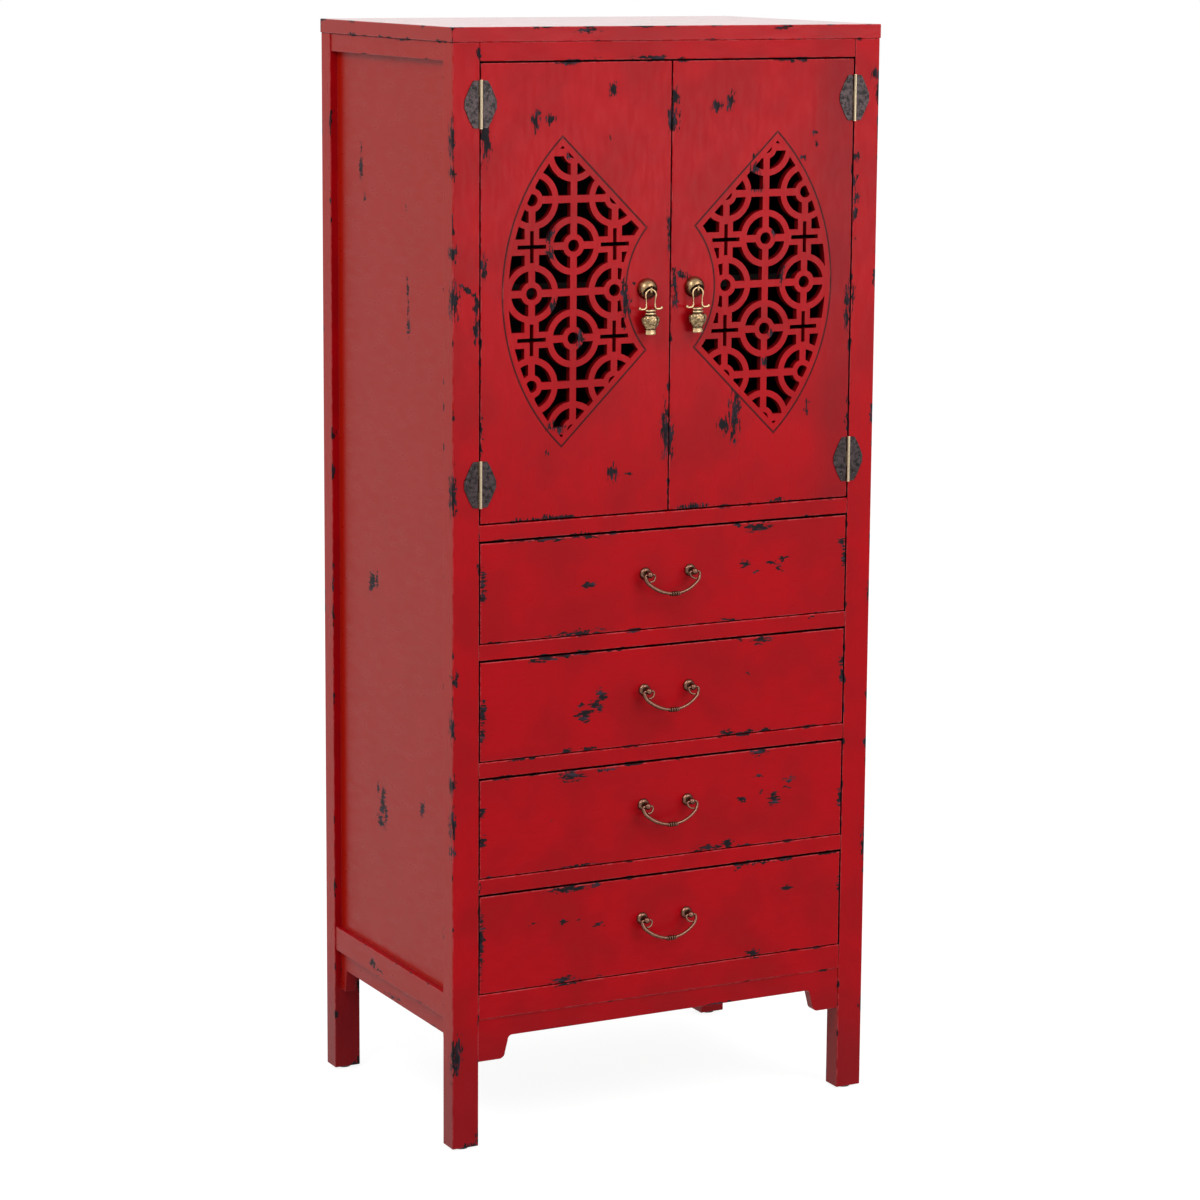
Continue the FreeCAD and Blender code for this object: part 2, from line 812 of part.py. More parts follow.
def hinge_leaf(side, outwards, level):
    """One leaf: a rounded half flower on the wood, and its knuckles round the pin. The post's leaf
    has the end knuckles and the door's leaf the middle one."""
    body = new_body("leaf_body")
    sketch = sketch_on(body, "outline", "XZ_Plane")
    away = side * outwards
    start = (S.barrel_radius + S.knuckle_gap) * away
    half = S.leaf_height / 2
    corners = [
        (start, half), (S.leaf_end_reach * away, half),
        (S.leaf_shoulder_reach * away, S.leaf_shoulder_height / 2),
        (S.leaf_reach * away, S.leaf_tip_height / 2),
    ]
    corners += [(x, -z) for x, z in reversed(corners)]
    draw_path(sketch, corners)
    pad = body.newObject("PartDesign::Pad", "leaf")
    pad.Profile = (sketch, [""])
    bind(pad, Length=S.leaf_thickness)
    doc.recompute()
    halfway = abs(start.value + S.leaf_end_reach.value * away) / 2
    corner_edges = [
        f"Edge{n}"
        for n, edge in enumerate(pad.Shape.Edges, start=1)
        if min(abs(vertex.X) for vertex in edge.Vertexes) > halfway
        and math.isclose(edge.Length, S.leaf_thickness.value)
    ]
    rounding = body.newObject("PartDesign::Fillet", "lobes")
    rounding.Base = (pad, corner_edges)
    bind(rounding, Radius=S.leaf_round)
    third = S.leaf_height / 3
    feet = [-half, third / 2] if outwards > 0 else [-third / 2 + S.knuckle_gap]
    length = third if outwards > 0 else third - S.knuckle_gap * 2
    for foot in feet:
        tab = add_box(body, "tab", S.barrel_radius + S.knuckle_gap * 2, S.leaf_thickness, length)
        place(tab, ZERO if away > 0 else -(S.barrel_radius + S.knuckle_gap * 2), -S.leaf_thickness, foot)
        knuckle = body.newObject("PartDesign::AdditiveCylinder", "knuckle")
        bind(knuckle, Radius=S.barrel_radius, Height=length)
        place(knuckle, ZERO, -S.barrel_standoff, foot)
    bore = body.newObject("PartDesign::SubtractiveCylinder", "pin_bore")
    bind(bore, Radius=S.pin_radius + S.pin_clearance, Height=S.leaf_height + S.overrun * 2)
    place(bore, ZERO, -S.barrel_standoff, -half - S.overrun)
    for reach, rise in nail_places():
        hole = body.newObject("PartDesign::SubtractiveCylinder", "nail_hole")
        bind(hole, Radius=S.nail_shank_radius + S.nail_clearance, Height=S.leaf_thickness + S.overrun * 2)
        lay_along_y(hole, reach * away, S.overrun, rise)
    return place(body, hinge_line * side, front_face, level)


def hinge_pin(side, level):
    """The pin through the knuckles, with a flat cap at each end."""
    body = new_body("pin_body")
    pin = body.newObject("PartDesign::AdditiveCylinder", "pin")
    bind(pin, Radius=S.pin_radius, Height=S.leaf_height)
    place(pin, ZERO, ZERO, -(S.leaf_height / 2))
    for foot in (S.leaf_height / 2, -(S.leaf_height / 2) - S.pin_cap_height):
        cap = body.newObject("PartDesign::AdditiveCylinder", "cap")
        bind(cap, Radius=S.barrel_radius, Height=S.pin_cap_height)
        place(cap, ZERO, ZERO, foot)
    return place(body, hinge_line * side, front_face - S.barrel_standoff, level)


def nail(x, z):
    """A domed nail: its head lies on the leaf, and its shank runs through it into the wood."""
    body = new_body("nail_body")
    sketch = sketch_on(body, "profile", "XZ_Plane")
    head, rise = S.nail_head_radius, S.nail_head_height
    crown = (head * head + rise * rise) / (rise * 2)
    points = [
        (ZERO, -S.nail_length), (S.nail_shank_radius, -S.nail_length), (S.nail_shank_radius, ZERO),
        (head, ZERO), (ZERO, rise, crown, True),
    ]
    draw_path(sketch, points)
    turned = body.newObject("PartDesign::Revolution", "turned")
    turned.Profile = (sketch, [""])
    turned.ReferenceAxis = (sketch, ["V_Axis"])
    return lay_along_y(body, x, front_face - S.leaf_thickness, z)


def hinges():
    leaves, nails, pins = [], [], []
    for side in (-1, 1):
        leaves += [hinge_leaf(side, 1, level) for level in hinge_levels()]
        pins += [hinge_pin(side, level) for level in hinge_levels()]
        nails += [nail(x, z) for x, z in all_nails(side, 1)]
    group("frame_hinge_leaves", leaves)
    group("frame_hinge_nails", nails)
    group("hinge_pins", pins)


def pull_dome(side, label):
    """A cast half ball on the door. Two slots leave a lug between them, bored across for the loop."""
    body = new_body(f"{label}_body")
    ball = body.newObject("PartDesign::AdditiveSphere", "ball")
    bind(ball, Radius=S.dome_radius)
    ball.Angle1 = 0
    room = S.loop_radius + S.loop_clearance
    bore = body.newObject("PartDesign::SubtractiveCylinder", "cross_bore")
    bore.Placement.Rotation = Rotation(Vector(0, 1, 0), QUARTER_TURN)
    bind(bore, Radius=room, Height=S.dome_radius * 2)
    place(bore, -S.dome_radius, ZERO, S.pull_standoff)
    for hand in (-1, 1):
        floor = S.pull_standoff - room - S.dome_slot_play
        slot = add_box(
            body, "slot", S.dome_slot_width, S.dome_radius + room,
            S.dome_radius - floor + S.overrun, kind="Subtractive",
        )
        near = S.lug_width / 2
        place(slot, near if hand > 0 else -near - S.dome_slot_width, -S.dome_radius, floor)
    lay_along_y(body, S.pull_spacing / 2 * side, front_face, door_middle)
    sub_part(body, label)


def oval(name, half_width, half_depth, z):
    item = doc.addObject("Part::Ellipse", name)
    bind(item, MajorRadius=half_width, MinorRadius=half_depth)
    return place(item, ZERO, ZERO, z)


def oval_loft(name, sections, ruled):
    """A solid through level ovals, each (half width, half depth, height)."""
    loft = doc.addObject("Part::Loft", name)
    loft.Sections = [oval("oval", *section) for section in sections]
    loft.Solid = True
    loft.Ruled = ruled
    return loft


def wire_piece(name, points, radius):
    """A round wire along a path in the body's XZ plane that starts along X."""
    body = new_body(name)
    path = draw_path(sketch_on(body, "path", "XZ_Plane"), points, closed=False)
    section = sketch_on(body, "section", "YZ_Plane")
    circle = section.addGeometry(Part.Circle(Vector(0, 0, 0), Vector(0, 0, 1), radius.value), False)
    section.addConstraint(Sketcher.Constraint("Coincident", circle, 3, -1, 1))
    row = section.addConstraint(Sketcher.Constraint("Radius", circle, radius.value))
    section.setExpression(f"Constraints[{row}]", radius.formula)
    pipe = body.newObject("PartDesign::AdditivePipe", "wire")
    pipe.Profile = (section, [""])
    pipe.Spine = (path, [])
    return body


def pendant_loop():
    """Half of the loop, from the middle of its top down to the collar, with one upturned arm."""
    spread = S.loop_spread / 2
    bend = S.loop_bend
    return [
        (ZERO, ZERO), (spread - bend, ZERO), (spread, -bend, bend, False),
        (spread, -S.loop_drop),
    ]


def pendant_arm():
    """An arm that leaves the loop's foot level and turns up to its ball."""
    reach = S.arm_reach - S.arm_ball_radius
    return [(ZERO, ZERO), (reach - S.arm_rise, ZERO), (reach, S.arm_rise, S.arm_rise, True)]


def turn_about(item, angle):
    """Turns a piece about the upright line through its own origin."""
    item.Placement.Rotation = Rotation(Vector(0, 0, 1), angle)
    return item


def pendant(side, label):
    """A vase-shaped pendant on a wire loop: foot, vase, grooved collar, two arms with ball ends."""
    collar_top = -S.loop_drop
    vase_top = collar_top - S.collar_height
    vase_foot = vase_top - S.vase_height + S.foot_height
    foot = vase_foot - S.foot_height
    solids = [
        oval_loft(
            "vase",
            [
                (S.vase_waist_half_width, S.vase_waist_half_depth, vase_foot),
                (S.vase_half_width, S.vase_half_depth, vase_foot + (vase_top - vase_foot) * S.vase_belly_share),
                (S.collar_half_width, S.collar_half_depth, vase_top),
            ],
            False,
        ),
        oval_loft(
            "foot",
            [
                (S.foot_half_width, S.foot_half_depth, foot),
                (S.foot_half_width, S.foot_half_depth, foot + S.foot_height / 2),
                (S.vase_waist_half_width, S.vase_waist_half_depth, vase_foot),
            ],
            True,
        ),
    ]
    band = (S.collar_height - S.collar_groove) / 2
    neck = (S.collar_half_width - S.collar_groove, S.collar_half_depth - S.collar_groove)
    solids.append(oval_loft("neck", [(*neck, vase_top), (*neck, collar_top)], True))
    for band_foot in (vase_top, collar_top - band):
        rim = (S.collar_half_width, S.collar_half_depth)
        solids.append(oval_loft("band", [(*rim, band_foot), (*rim, band_foot + band)], True))
    arm_level = collar_top + S.loop_radius
    for hand_angle, hand in ((0, 1), (180, -1)):
        loop = turn_about(wire_piece("loop_half", pendant_loop(), S.loop_radius), hand_angle)
        arm = turn_about(wire_piece("arm", pendant_arm(), S.loop_radius), hand_angle)
        place(arm, ZERO, ZERO, arm_level)
        ball = doc.addObject("Part::Sphere", "arm_ball")
        bind(ball, Radius=S.arm_ball_radius)
        place(ball, (S.arm_reach - S.arm_ball_radius) * hand, ZERO, arm_level + S.arm_rise)
        solids += [loop, arm, ball]
    whole = doc.addObject("Part::MultiFuse", f"{label}_whole")
    whole.Shapes = solids
    place(whole, S.pull_spacing / 2 * side, front_face - S.pull_standoff, door_middle)
    sub_part(whole, label)


def door_hardware(side, name):
    group(f"{name}_door_hinge_leaves", [hinge_leaf(side, -1, level) for level in hinge_levels()])
    group(f"{name}_door_hinge_nails", [nail(x, z) for x, z in all_nails(side, -1)])
    pull_dome(side, f"{name}_pull_dome")
    pendant(side, f"{name}_pull_pendant")


def doors():
    for side, name in ((-1, "left"), (1, "right")):
        door_panel(side, f"{name}_door_panel")
        lattice(side, f"{name}_door_lattice")
        door_hardware(side, name)


def drawer_box(level, name):
    """A drawer's front board, and behind it two sides, a back and a bottom."""
    opening_foot = drawer_opening_foot(level)
    front_foot = opening_foot + S.drawer_bottom_gap
    front_width = opening_width - S.drawer_side_gap * 2
    front_height = S.drawer_opening_height - S.drawer_bottom_gap - S.drawer_top_gap
    front = board(
        f"{name}_front_body", -(front_width / 2), front_face, front_foot,
        front_width, S.drawer_front_thickness, front_height,
    )
    sub_part(front, f"{name}_front")
    half = post_inside - S.drawer_box_gap
    box_foot = opening_foot + S.slide_gap
    box_front = front_face + S.drawer_front_thickness
    box_depth = back_panel_front - S.slide_gap - box_front
    walls = [
        board(
            "drawer_side_body", mirrored(side, half - S.drawer_wall, half), box_front, box_foot,
            S.drawer_wall, box_depth, S.drawer_box_height, eased=False,
        )
        for side in (-1, 1)
    ]
    inner_half = half - S.drawer_wall
    walls.append(
        board(
            "drawer_back_body", -inner_half, box_front + box_depth - S.drawer_wall, box_foot,
            inner_half * 2, S.drawer_wall, S.drawer_box_height, eased=False,
        )
    )
    group(f"{name}_box", walls)
    bottom = board(
        f"{name}_bottom_body", -inner_half, box_front, box_foot + S.drawer_floor_lift,
        inner_half * 2, box_depth - S.drawer_wall, S.drawer_floor, eased=False,
    )
    sub_part(bottom, f"{name}_bottom")


def handle_height(level):
    middle = S.drawer_opening_height + S.drawer_bottom_gap - S.drawer_top_gap
    return drawer_opening_foot(level) + middle / 2 + S.handle_rise


def handle_post(side, level):
    """A turned post: crowned base, neck, and a ball bored across for the handle's end."""
    body = new_body("handle_post_body")
    sketch = sketch_on(body, "profile", "XZ_Plane")
    base, neck, ball = S.handle_base_radius, S.handle_neck_radius, S.handle_ball_radius
    shoulder = S.handle_base_height + S.handle_base_crown
    draw_path(
        sketch,
        [
            (ZERO, ZERO), (base, ZERO), (base, S.handle_base_height),
            (neck, shoulder, base, True), (neck, S.handle_standoff), (ZERO, S.handle_standoff),
        ],
    )
    turned = body.newObject("PartDesign::Revolution", "turned")
    turned.Profile = (sketch, [""])
    turned.ReferenceAxis = (sketch, ["V_Axis"])
    head = body.newObject("PartDesign::AdditiveSphere", "ball")
    bind(head, Radius=ball)
    place(head, ZERO, ZERO, S.handle_standoff)
    bore = body.newObject("PartDesign::SubtractiveCylinder", "bore")
    bore.Placement.Rotation = Rotation(Vector(0, 1, 0), QUARTER_TURN)
    bind(bore, Radius=S.hook_radius + S.hook_clearance, Height=(ball + S.overrun) * 2)
    place(bore, -ball - S.overrun, ZERO, S.handle_standoff)
    return lay_along_y(body, S.handle_spacing / 2 * side, front_face, handle_height(level))


def bail_bow():
    """The bow of a swinging handle, from the top of its left side to the top of its right side. The
    bottom arc touches both corner arcs, so its radius follows from the drop and the corners."""
    side_x = S.handle_spacing / 2 + S.bail_side_reach
    corner = S.bail_corner_radius
    corner_x = side_x - corner
    drop = S.bail_drop - S.hook_bend
    depth = drop - corner
    bow = (corner_x * corner_x + depth * depth) / (depth * 2) + corner
    spread = corner / (bow - corner)
    touch_x = corner_x + corner_x * spread
    touch_z = -(S.hook_bend + (bow - drop) * spread)
    return [
        (-side_x, -S.hook_bend), (-touch_x, touch_z, corner, True), (touch_x, touch_z, bow, True),
        (side_x, -S.hook_bend, corner, True),
    ]


def hook_path(side):
    """One eye of a handle, from its curled tip under the ball, through the ball, to the bow's top."""
    middle = S.handle_spacing / 2
    bend = S.hook_bend
    curl = S.hook_curl_radius
    inner_x = middle - S.bail_side_reach
    tip_x = inner_x + curl - curl * cosine(S.hook_curl_angle)
    tip_z = -(bend + curl * sine(S.hook_curl_angle))
    outer_x = middle + S.bail_side_reach
    turns_left = side < 0
    return [
        (tip_x * side, tip_z), (inner_x * side, -bend, curl, turns_left),
        ((inner_x + bend) * side, ZERO, bend, not turns_left),
        ((outer_x - bend) * side, ZERO), (outer_x * side, -bend, bend, not turns_left),
    ]


def swept_wire(body, points, radius, start_angle=None):
    """A round wire along a path in the body's XZ plane. Its section stands across the path's start,
    whose direction is start_angle from straight down."""
    path = draw_path(sketch_on(body, "path", "XZ_Plane"), points, closed=False)
    section = sketch_on(body, "section", "XY_Plane")
    circle = section.addGeometry(Part.Circle(Vector(0, 0, 0), Vector(0, 0, 1), radius.value), False)
    section.addConstraint(Sketcher.Constraint("Coincident", circle, 3, -1, 1))
    row = section.addConstraint(Sketcher.Constraint("Radius", circle, radius.value))
    section.setExpression(f"Constraints[{row}]", radius.formula)
    bind(section, AttachmentOffset__Base__x=points[0][0], AttachmentOffset__Base__z=points[0][1])
    if start_angle:
        section.AttachmentOffset.Rotation = Rotation(Vector(0, 1, 0), start_angle.value)
        section.setExpression("AttachmentOffset.Rotation.Angle", start_angle.formula)
    pipe = body.newObject("PartDesign::AdditivePipe", "wire")
    pipe.Profile = (section, [""])
    pipe.Spine = (path, [])


def bail(level, label):
    """A swinging handle that stands off the drawer at a slant: a bow with rings at its middle, and
    two thinner hooks that pass through the balls of the posts and curl below them."""
    body = new_body(f"{label}_body")
    swept_wire(body, bail_bow(), S.bail_radius)
    for side in (-1, 1):
        swept_wire(body, hook_path(side), S.hook_radius, (S.hook_curl_angle - 180) * side)
        shoulder = body.newObject("PartDesign::AdditiveSphere", "shoulder")
        bind(shoulder, Radius=S.bail_radius)
        place(shoulder, (S.handle_spacing / 2 + S.bail_side_reach) * side, ZERO, -S.hook_bend)
    rings = [(S.bail_sleeve_radius, S.bail_sleeve_width, ZERO)]
    rings += [
        (S.bail_ring_radius, S.bail_ring_width, S.bail_ring_spacing / 2 * hand) for hand in (-1, 1)
    ]
    for radius, width, centre in rings:
        ring = body.newObject("PartDesign::AdditiveCylinder", "ring")
        ring.Placement.Rotation = Rotation(Vector(0, 1, 0), QUARTER_TURN)
        bind(ring, Radius=radius, Height=width)
        place(ring, centre - width / 2, ZERO, -S.bail_drop)
    body.Placement.Rotation = Rotation(Vector(-1, 0, 0), S.bail_tilt.value)
    body.setExpression("Placement.Rotation.Angle", S.bail_tilt.formula)
    place(body, ZERO, front_face - S.handle_standoff, handle_height(level))
    sub_part(body, label)


def drawers():
    for level in range(DRAWERS):
        name = f"drawer_{DRAWERS - level}"
        drawer_box(level, name)
        group(f"{name}_handle_posts", [handle_post(side, level) for side in (-1, 1)])
        bail(level, f"{name}_handle")


def check_model():
    """Stops if any object failed, or if a sub-part's shape is empty or not valid."""
    failed = [item.Name for item in doc.Objects if {"Invalid", "Error"} & set(item.State)]
    if failed:
        raise RuntimeError(f"failed to build: {failed}")
    for item in SUB_PARTS:
        if item.Shape.isNull() or not item.Shape.isValid() or not item.Shape.Solids:
            raise RuntimeError(f"{item.Label} has no valid solid")


def write_parts():
    os.makedirs("parts", exist_ok=True)
    for item in SUB_PARTS:
        item.Shape.exportStep(f"parts/{item.Label}.step")
    print(f"{len(SUB_PARTS)} sub-parts written")


top_board()
posts()
foot_glides()
front_rails()
rear_rails()
side_rails()
panels()
front_apron()
side_aprons()
cupboard_inside()
drawer_runners()
hinges()
doors()
drawers()
doc.recompute()
check_model()
write_parts()
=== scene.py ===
import math

import bpy
from mathutils import Matrix, Vector


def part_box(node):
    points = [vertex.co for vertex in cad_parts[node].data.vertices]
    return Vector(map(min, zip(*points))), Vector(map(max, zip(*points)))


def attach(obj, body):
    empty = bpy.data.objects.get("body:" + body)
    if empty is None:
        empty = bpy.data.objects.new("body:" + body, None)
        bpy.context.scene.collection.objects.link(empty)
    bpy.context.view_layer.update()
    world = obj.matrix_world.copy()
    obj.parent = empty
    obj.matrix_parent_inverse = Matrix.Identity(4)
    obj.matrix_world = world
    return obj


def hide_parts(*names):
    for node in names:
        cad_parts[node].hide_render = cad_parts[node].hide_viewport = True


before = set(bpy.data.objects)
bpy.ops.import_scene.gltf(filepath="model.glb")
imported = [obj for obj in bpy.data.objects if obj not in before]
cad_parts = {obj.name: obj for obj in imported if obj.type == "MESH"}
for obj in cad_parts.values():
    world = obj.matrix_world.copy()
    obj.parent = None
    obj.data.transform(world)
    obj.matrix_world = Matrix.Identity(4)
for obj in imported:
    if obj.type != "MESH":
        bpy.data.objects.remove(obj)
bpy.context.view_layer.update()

# The four posts: square softwood bars that run from the floor to the top board and carry every
# rail. They are sprayed with a dark ground coat and red lacquer, which was then knocked and rubbed
# through along the edges, so that the ground coat shows in flakes and thin lines.

RED = (0.48, 0.002, 0.007, 1.0)
DEEP_RED = (0.38, 0.003, 0.007, 1.0)
# The dark brown red of the browner stain and of the flakes' rims, also painted on the lower boards
# as painted shade towards the floor.
STAIN_AND_SHADE_RED = (0.20, 0.008, 0.012, 1.0)
# The pale pink of lacquer rubbed thin along the edges, also a painted highlight where the edges
# catch the light.
RUBBED_AND_GLINT_RED = (0.62, 0.090, 0.100, 1.0)
# The brighter, oranger red that sideways faces are painted in, as painted light for how the sides
# catch the light.
SIDE_LIT_RED = (0.50, 0.011, 0.001, 1.0)
# The dark red of the fan's glued seam, also painted on the narrow edges of the doors, drawers and
# lattice as painted shade for the gaps.
SEAM_AND_GAP_SHADE_RED = (0.045, 0.003, 0.004, 1.0)
GROUND_COAT = (0.007, 0.005, 0.007, 1.0)
DUSTY_COAT = (0.052, 0.034, 0.052, 1.0)

TO_MM = 1000
# Noises: how fine they are per millimetre, their detail and their roughness
RAGGED = (0.42, 5.0, 0.62)
PATCHES = (0.031, 2.0, 0.5)
BLOTCHES = (0.011, 3.0, 0.55)
BRUSHED = (0.16, 3.0, 0.5)
WANDER = (0.17, 2.0, 0.5)
RIPPLE = (0.10, 2.0, 0.5)
LACQUER_STRETCH = 0.22
LEAST_WEAR = 0.25
MOST_WEAR = 4.2
FLAKE_WANDER = 11.0
FLAKE_DEPTH = 9.0
FLAKE_RAGGEDNESS = 0.75
# The heights in millimetres at which the painted shade towards the floor is full, and at which it
# has faded out.
FOOT_SHADE_LOW = 40.0
FOOT_SHADE_HIGH = 200.0
SIDE_PANEL_INSIDE = 283.0
FRAME_FOOT = 179.0


def add_step(tree, kind, *values, **settings):
    """One node of a finish: its settings, its inputs in order, and its first output."""
    node = tree.nodes.new("ShaderNode" + kind)
    for setting, value in settings.items():
        setattr(node, setting, value)
    for socket, value in zip([s for s in node.inputs if s.enabled], values):
        if isinstance(value, bpy.types.NodeSocket):
            tree.links.new(value, socket)
        elif value is not None:
            socket.default_value = value
    return next(s for s in node.outputs if s.enabled)


def reckon(tree, operation, *values):
    """One sum with numbers."""
    return add_step(tree, "Math", *values, operation=operation)


def reckon_place(tree, operation, *values):
    """One sum with places or directions."""
    return add_step(tree, "VectorMath", *values, operation=operation)


def new_finish(name):
    """An empty finish: its node tree, its shader, and the place on the piece in millimetres."""
    finish = bpy.data.materials.new(name)
    finish.use_nodes = True
    tree = finish.node_tree
    place = tree.nodes.new("ShaderNodeTexCoord").outputs["Object"]
    place_mm = reckon_place(tree, "SCALE", place, TO_MM)
    return finish, tree, tree.nodes["Principled BSDF"], place_mm


def facing(tree):
    """The direction in which the face looks."""
    return tree.nodes["Texture Coordinate"].outputs["Normal"]


def between(tree, value, low, high, at_low=0.0, at_high=1.0):
    """The value's way from low to high, smooth, as a share from at_low to at_high."""
    return add_step(
        tree, "MapRange", value, low, high, at_low, at_high, interpolation_type="SMOOTHSTEP"
    )


def split(tree, vector):
    """The x, y and z of a vector."""
    add_step(tree, "SeparateXYZ", vector)
    return tree.nodes[-1].outputs


def blend_colour(tree, share, first, second):
    """The second colour over the first, by its share."""
    return add_step(tree, "Mix", share, first, second, data_type="RGBA")


def add_bump(tree, relief, strength, height):
    """Gives a finish its relief, whose full height is in metres."""
    bump = tree.nodes.new("ShaderNodeBump")
    bump.inputs["Strength"].default_value = strength
    bump.inputs["Distance"].default_value = height
    tree.links.new(relief, bump.inputs["Height"])
    tree.links.new(bump.outputs["Normal"], tree.nodes["Principled BSDF"].inputs["Normal"])


def along_grain(tree, place_mm, grain, squeeze):
    """The place squeezed along the grain, so that a noise runs with it."""
    stretch = [squeeze if axis == grain else 1 for axis in "XYZ"]
    return reckon_place(tree, "MULTIPLY", place_mm, stretch)


def edge_distance(tree, place_mm, low, high):
    """How far a point on a board's face is from the nearest edge of that face: of its distances
    to the board's three pairs of faces the least is its own face's, and the next is the edge's."""
    middle = (low + high) * TO_MM / 2
    half = (high - low) * TO_MM / 2
    from_middle = reckon_place(tree, "SUBTRACT", place_mm, middle)
    from_middle = reckon_place(tree, "ABSOLUTE", from_middle)
    inset = reckon_place(tree, "SUBTRACT", half, from_middle)
    x, y, z = split(tree, inset)
    least = reckon(tree, "MINIMUM", x, y)
    least = reckon(tree, "MINIMUM", least, z)
    most = reckon(tree, "MAXIMUM", x, y)
    most = reckon(tree, "MAXIMUM", most, z)
    total = reckon(tree, "ADD", x, y)
    total = reckon(tree, "ADD", total, z)
    total = reckon(tree, "SUBTRACT", total, least)
    return reckon(tree, "SUBTRACT", total, most)


def nearest_flake(tree, place_mm, grain, flakes):
    """How far a point is from the nearest flake's middle, as a share of that flake's size."""
    add_step(tree, "TexNoise", place_mm, *WANDER)
    wander = tree.nodes[-1].outputs["Color"]
    wander = reckon_place(tree, "SUBTRACT", wander, (0.5, 0.5, 0.5))
    wander = reckon_place(tree, "SCALE", wander, FLAKE_WANDER)
    warped = reckon_place(tree, "ADD", place_mm, wander)
    nearest = None
    for x, y, z, half_width, half_height, turn in flakes:
        turn = math.radians(turn)
        size, spin = (half_width, FLAKE_DEPTH, half_height), (0, turn, 0)
        if grain == "Y":
            size, spin = (FLAKE_DEPTH, half_width, half_height), (turn, 0, 0)
        spot = add_step(tree, "Mapping", warped, (x, y, z), spin, size, vector_type="TEXTURE")
        reached = reckon_place(tree, "LENGTH", spot)
        if nearest is None:
            nearest = reached
        else:
            nearest = reckon(tree, "MINIMUM", nearest, reached)
    return nearest


def looks_inside(tree, place_mm):
    """The share of a face that looks into the cabinet, above the frame's foot."""
    side_of = reckon_place(tree, "SIGN", place_mm)
    outwards = reckon_place(tree, "MULTIPLY", side_of, facing(tree))
    out_x, out_y, _ = split(tree, outwards)
    x, _, z = split(tree, place_mm)
    x = reckon(tree, "ABSOLUTE", x)
    behind_panel = between(tree, x, SIDE_PANEL_INSIDE, SIDE_PANEL_INSIDE + 1.0, 1.0, 0.0)
    along_depth = between(tree, out_y, -0.8, -0.5, 1.0, 0.0)
    along_depth = reckon(tree, "MULTIPLY", along_depth, behind_panel)
    along_width = between(tree, out_x, -0.8, -0.5, 1.0, 0.0)
    inside = reckon(tree, "MAXIMUM", along_depth, along_width)
    above = between(tree, z, FRAME_FOOT, FRAME_FOOT + 0.5)
    return reckon(tree, "MULTIPLY", inside, above)


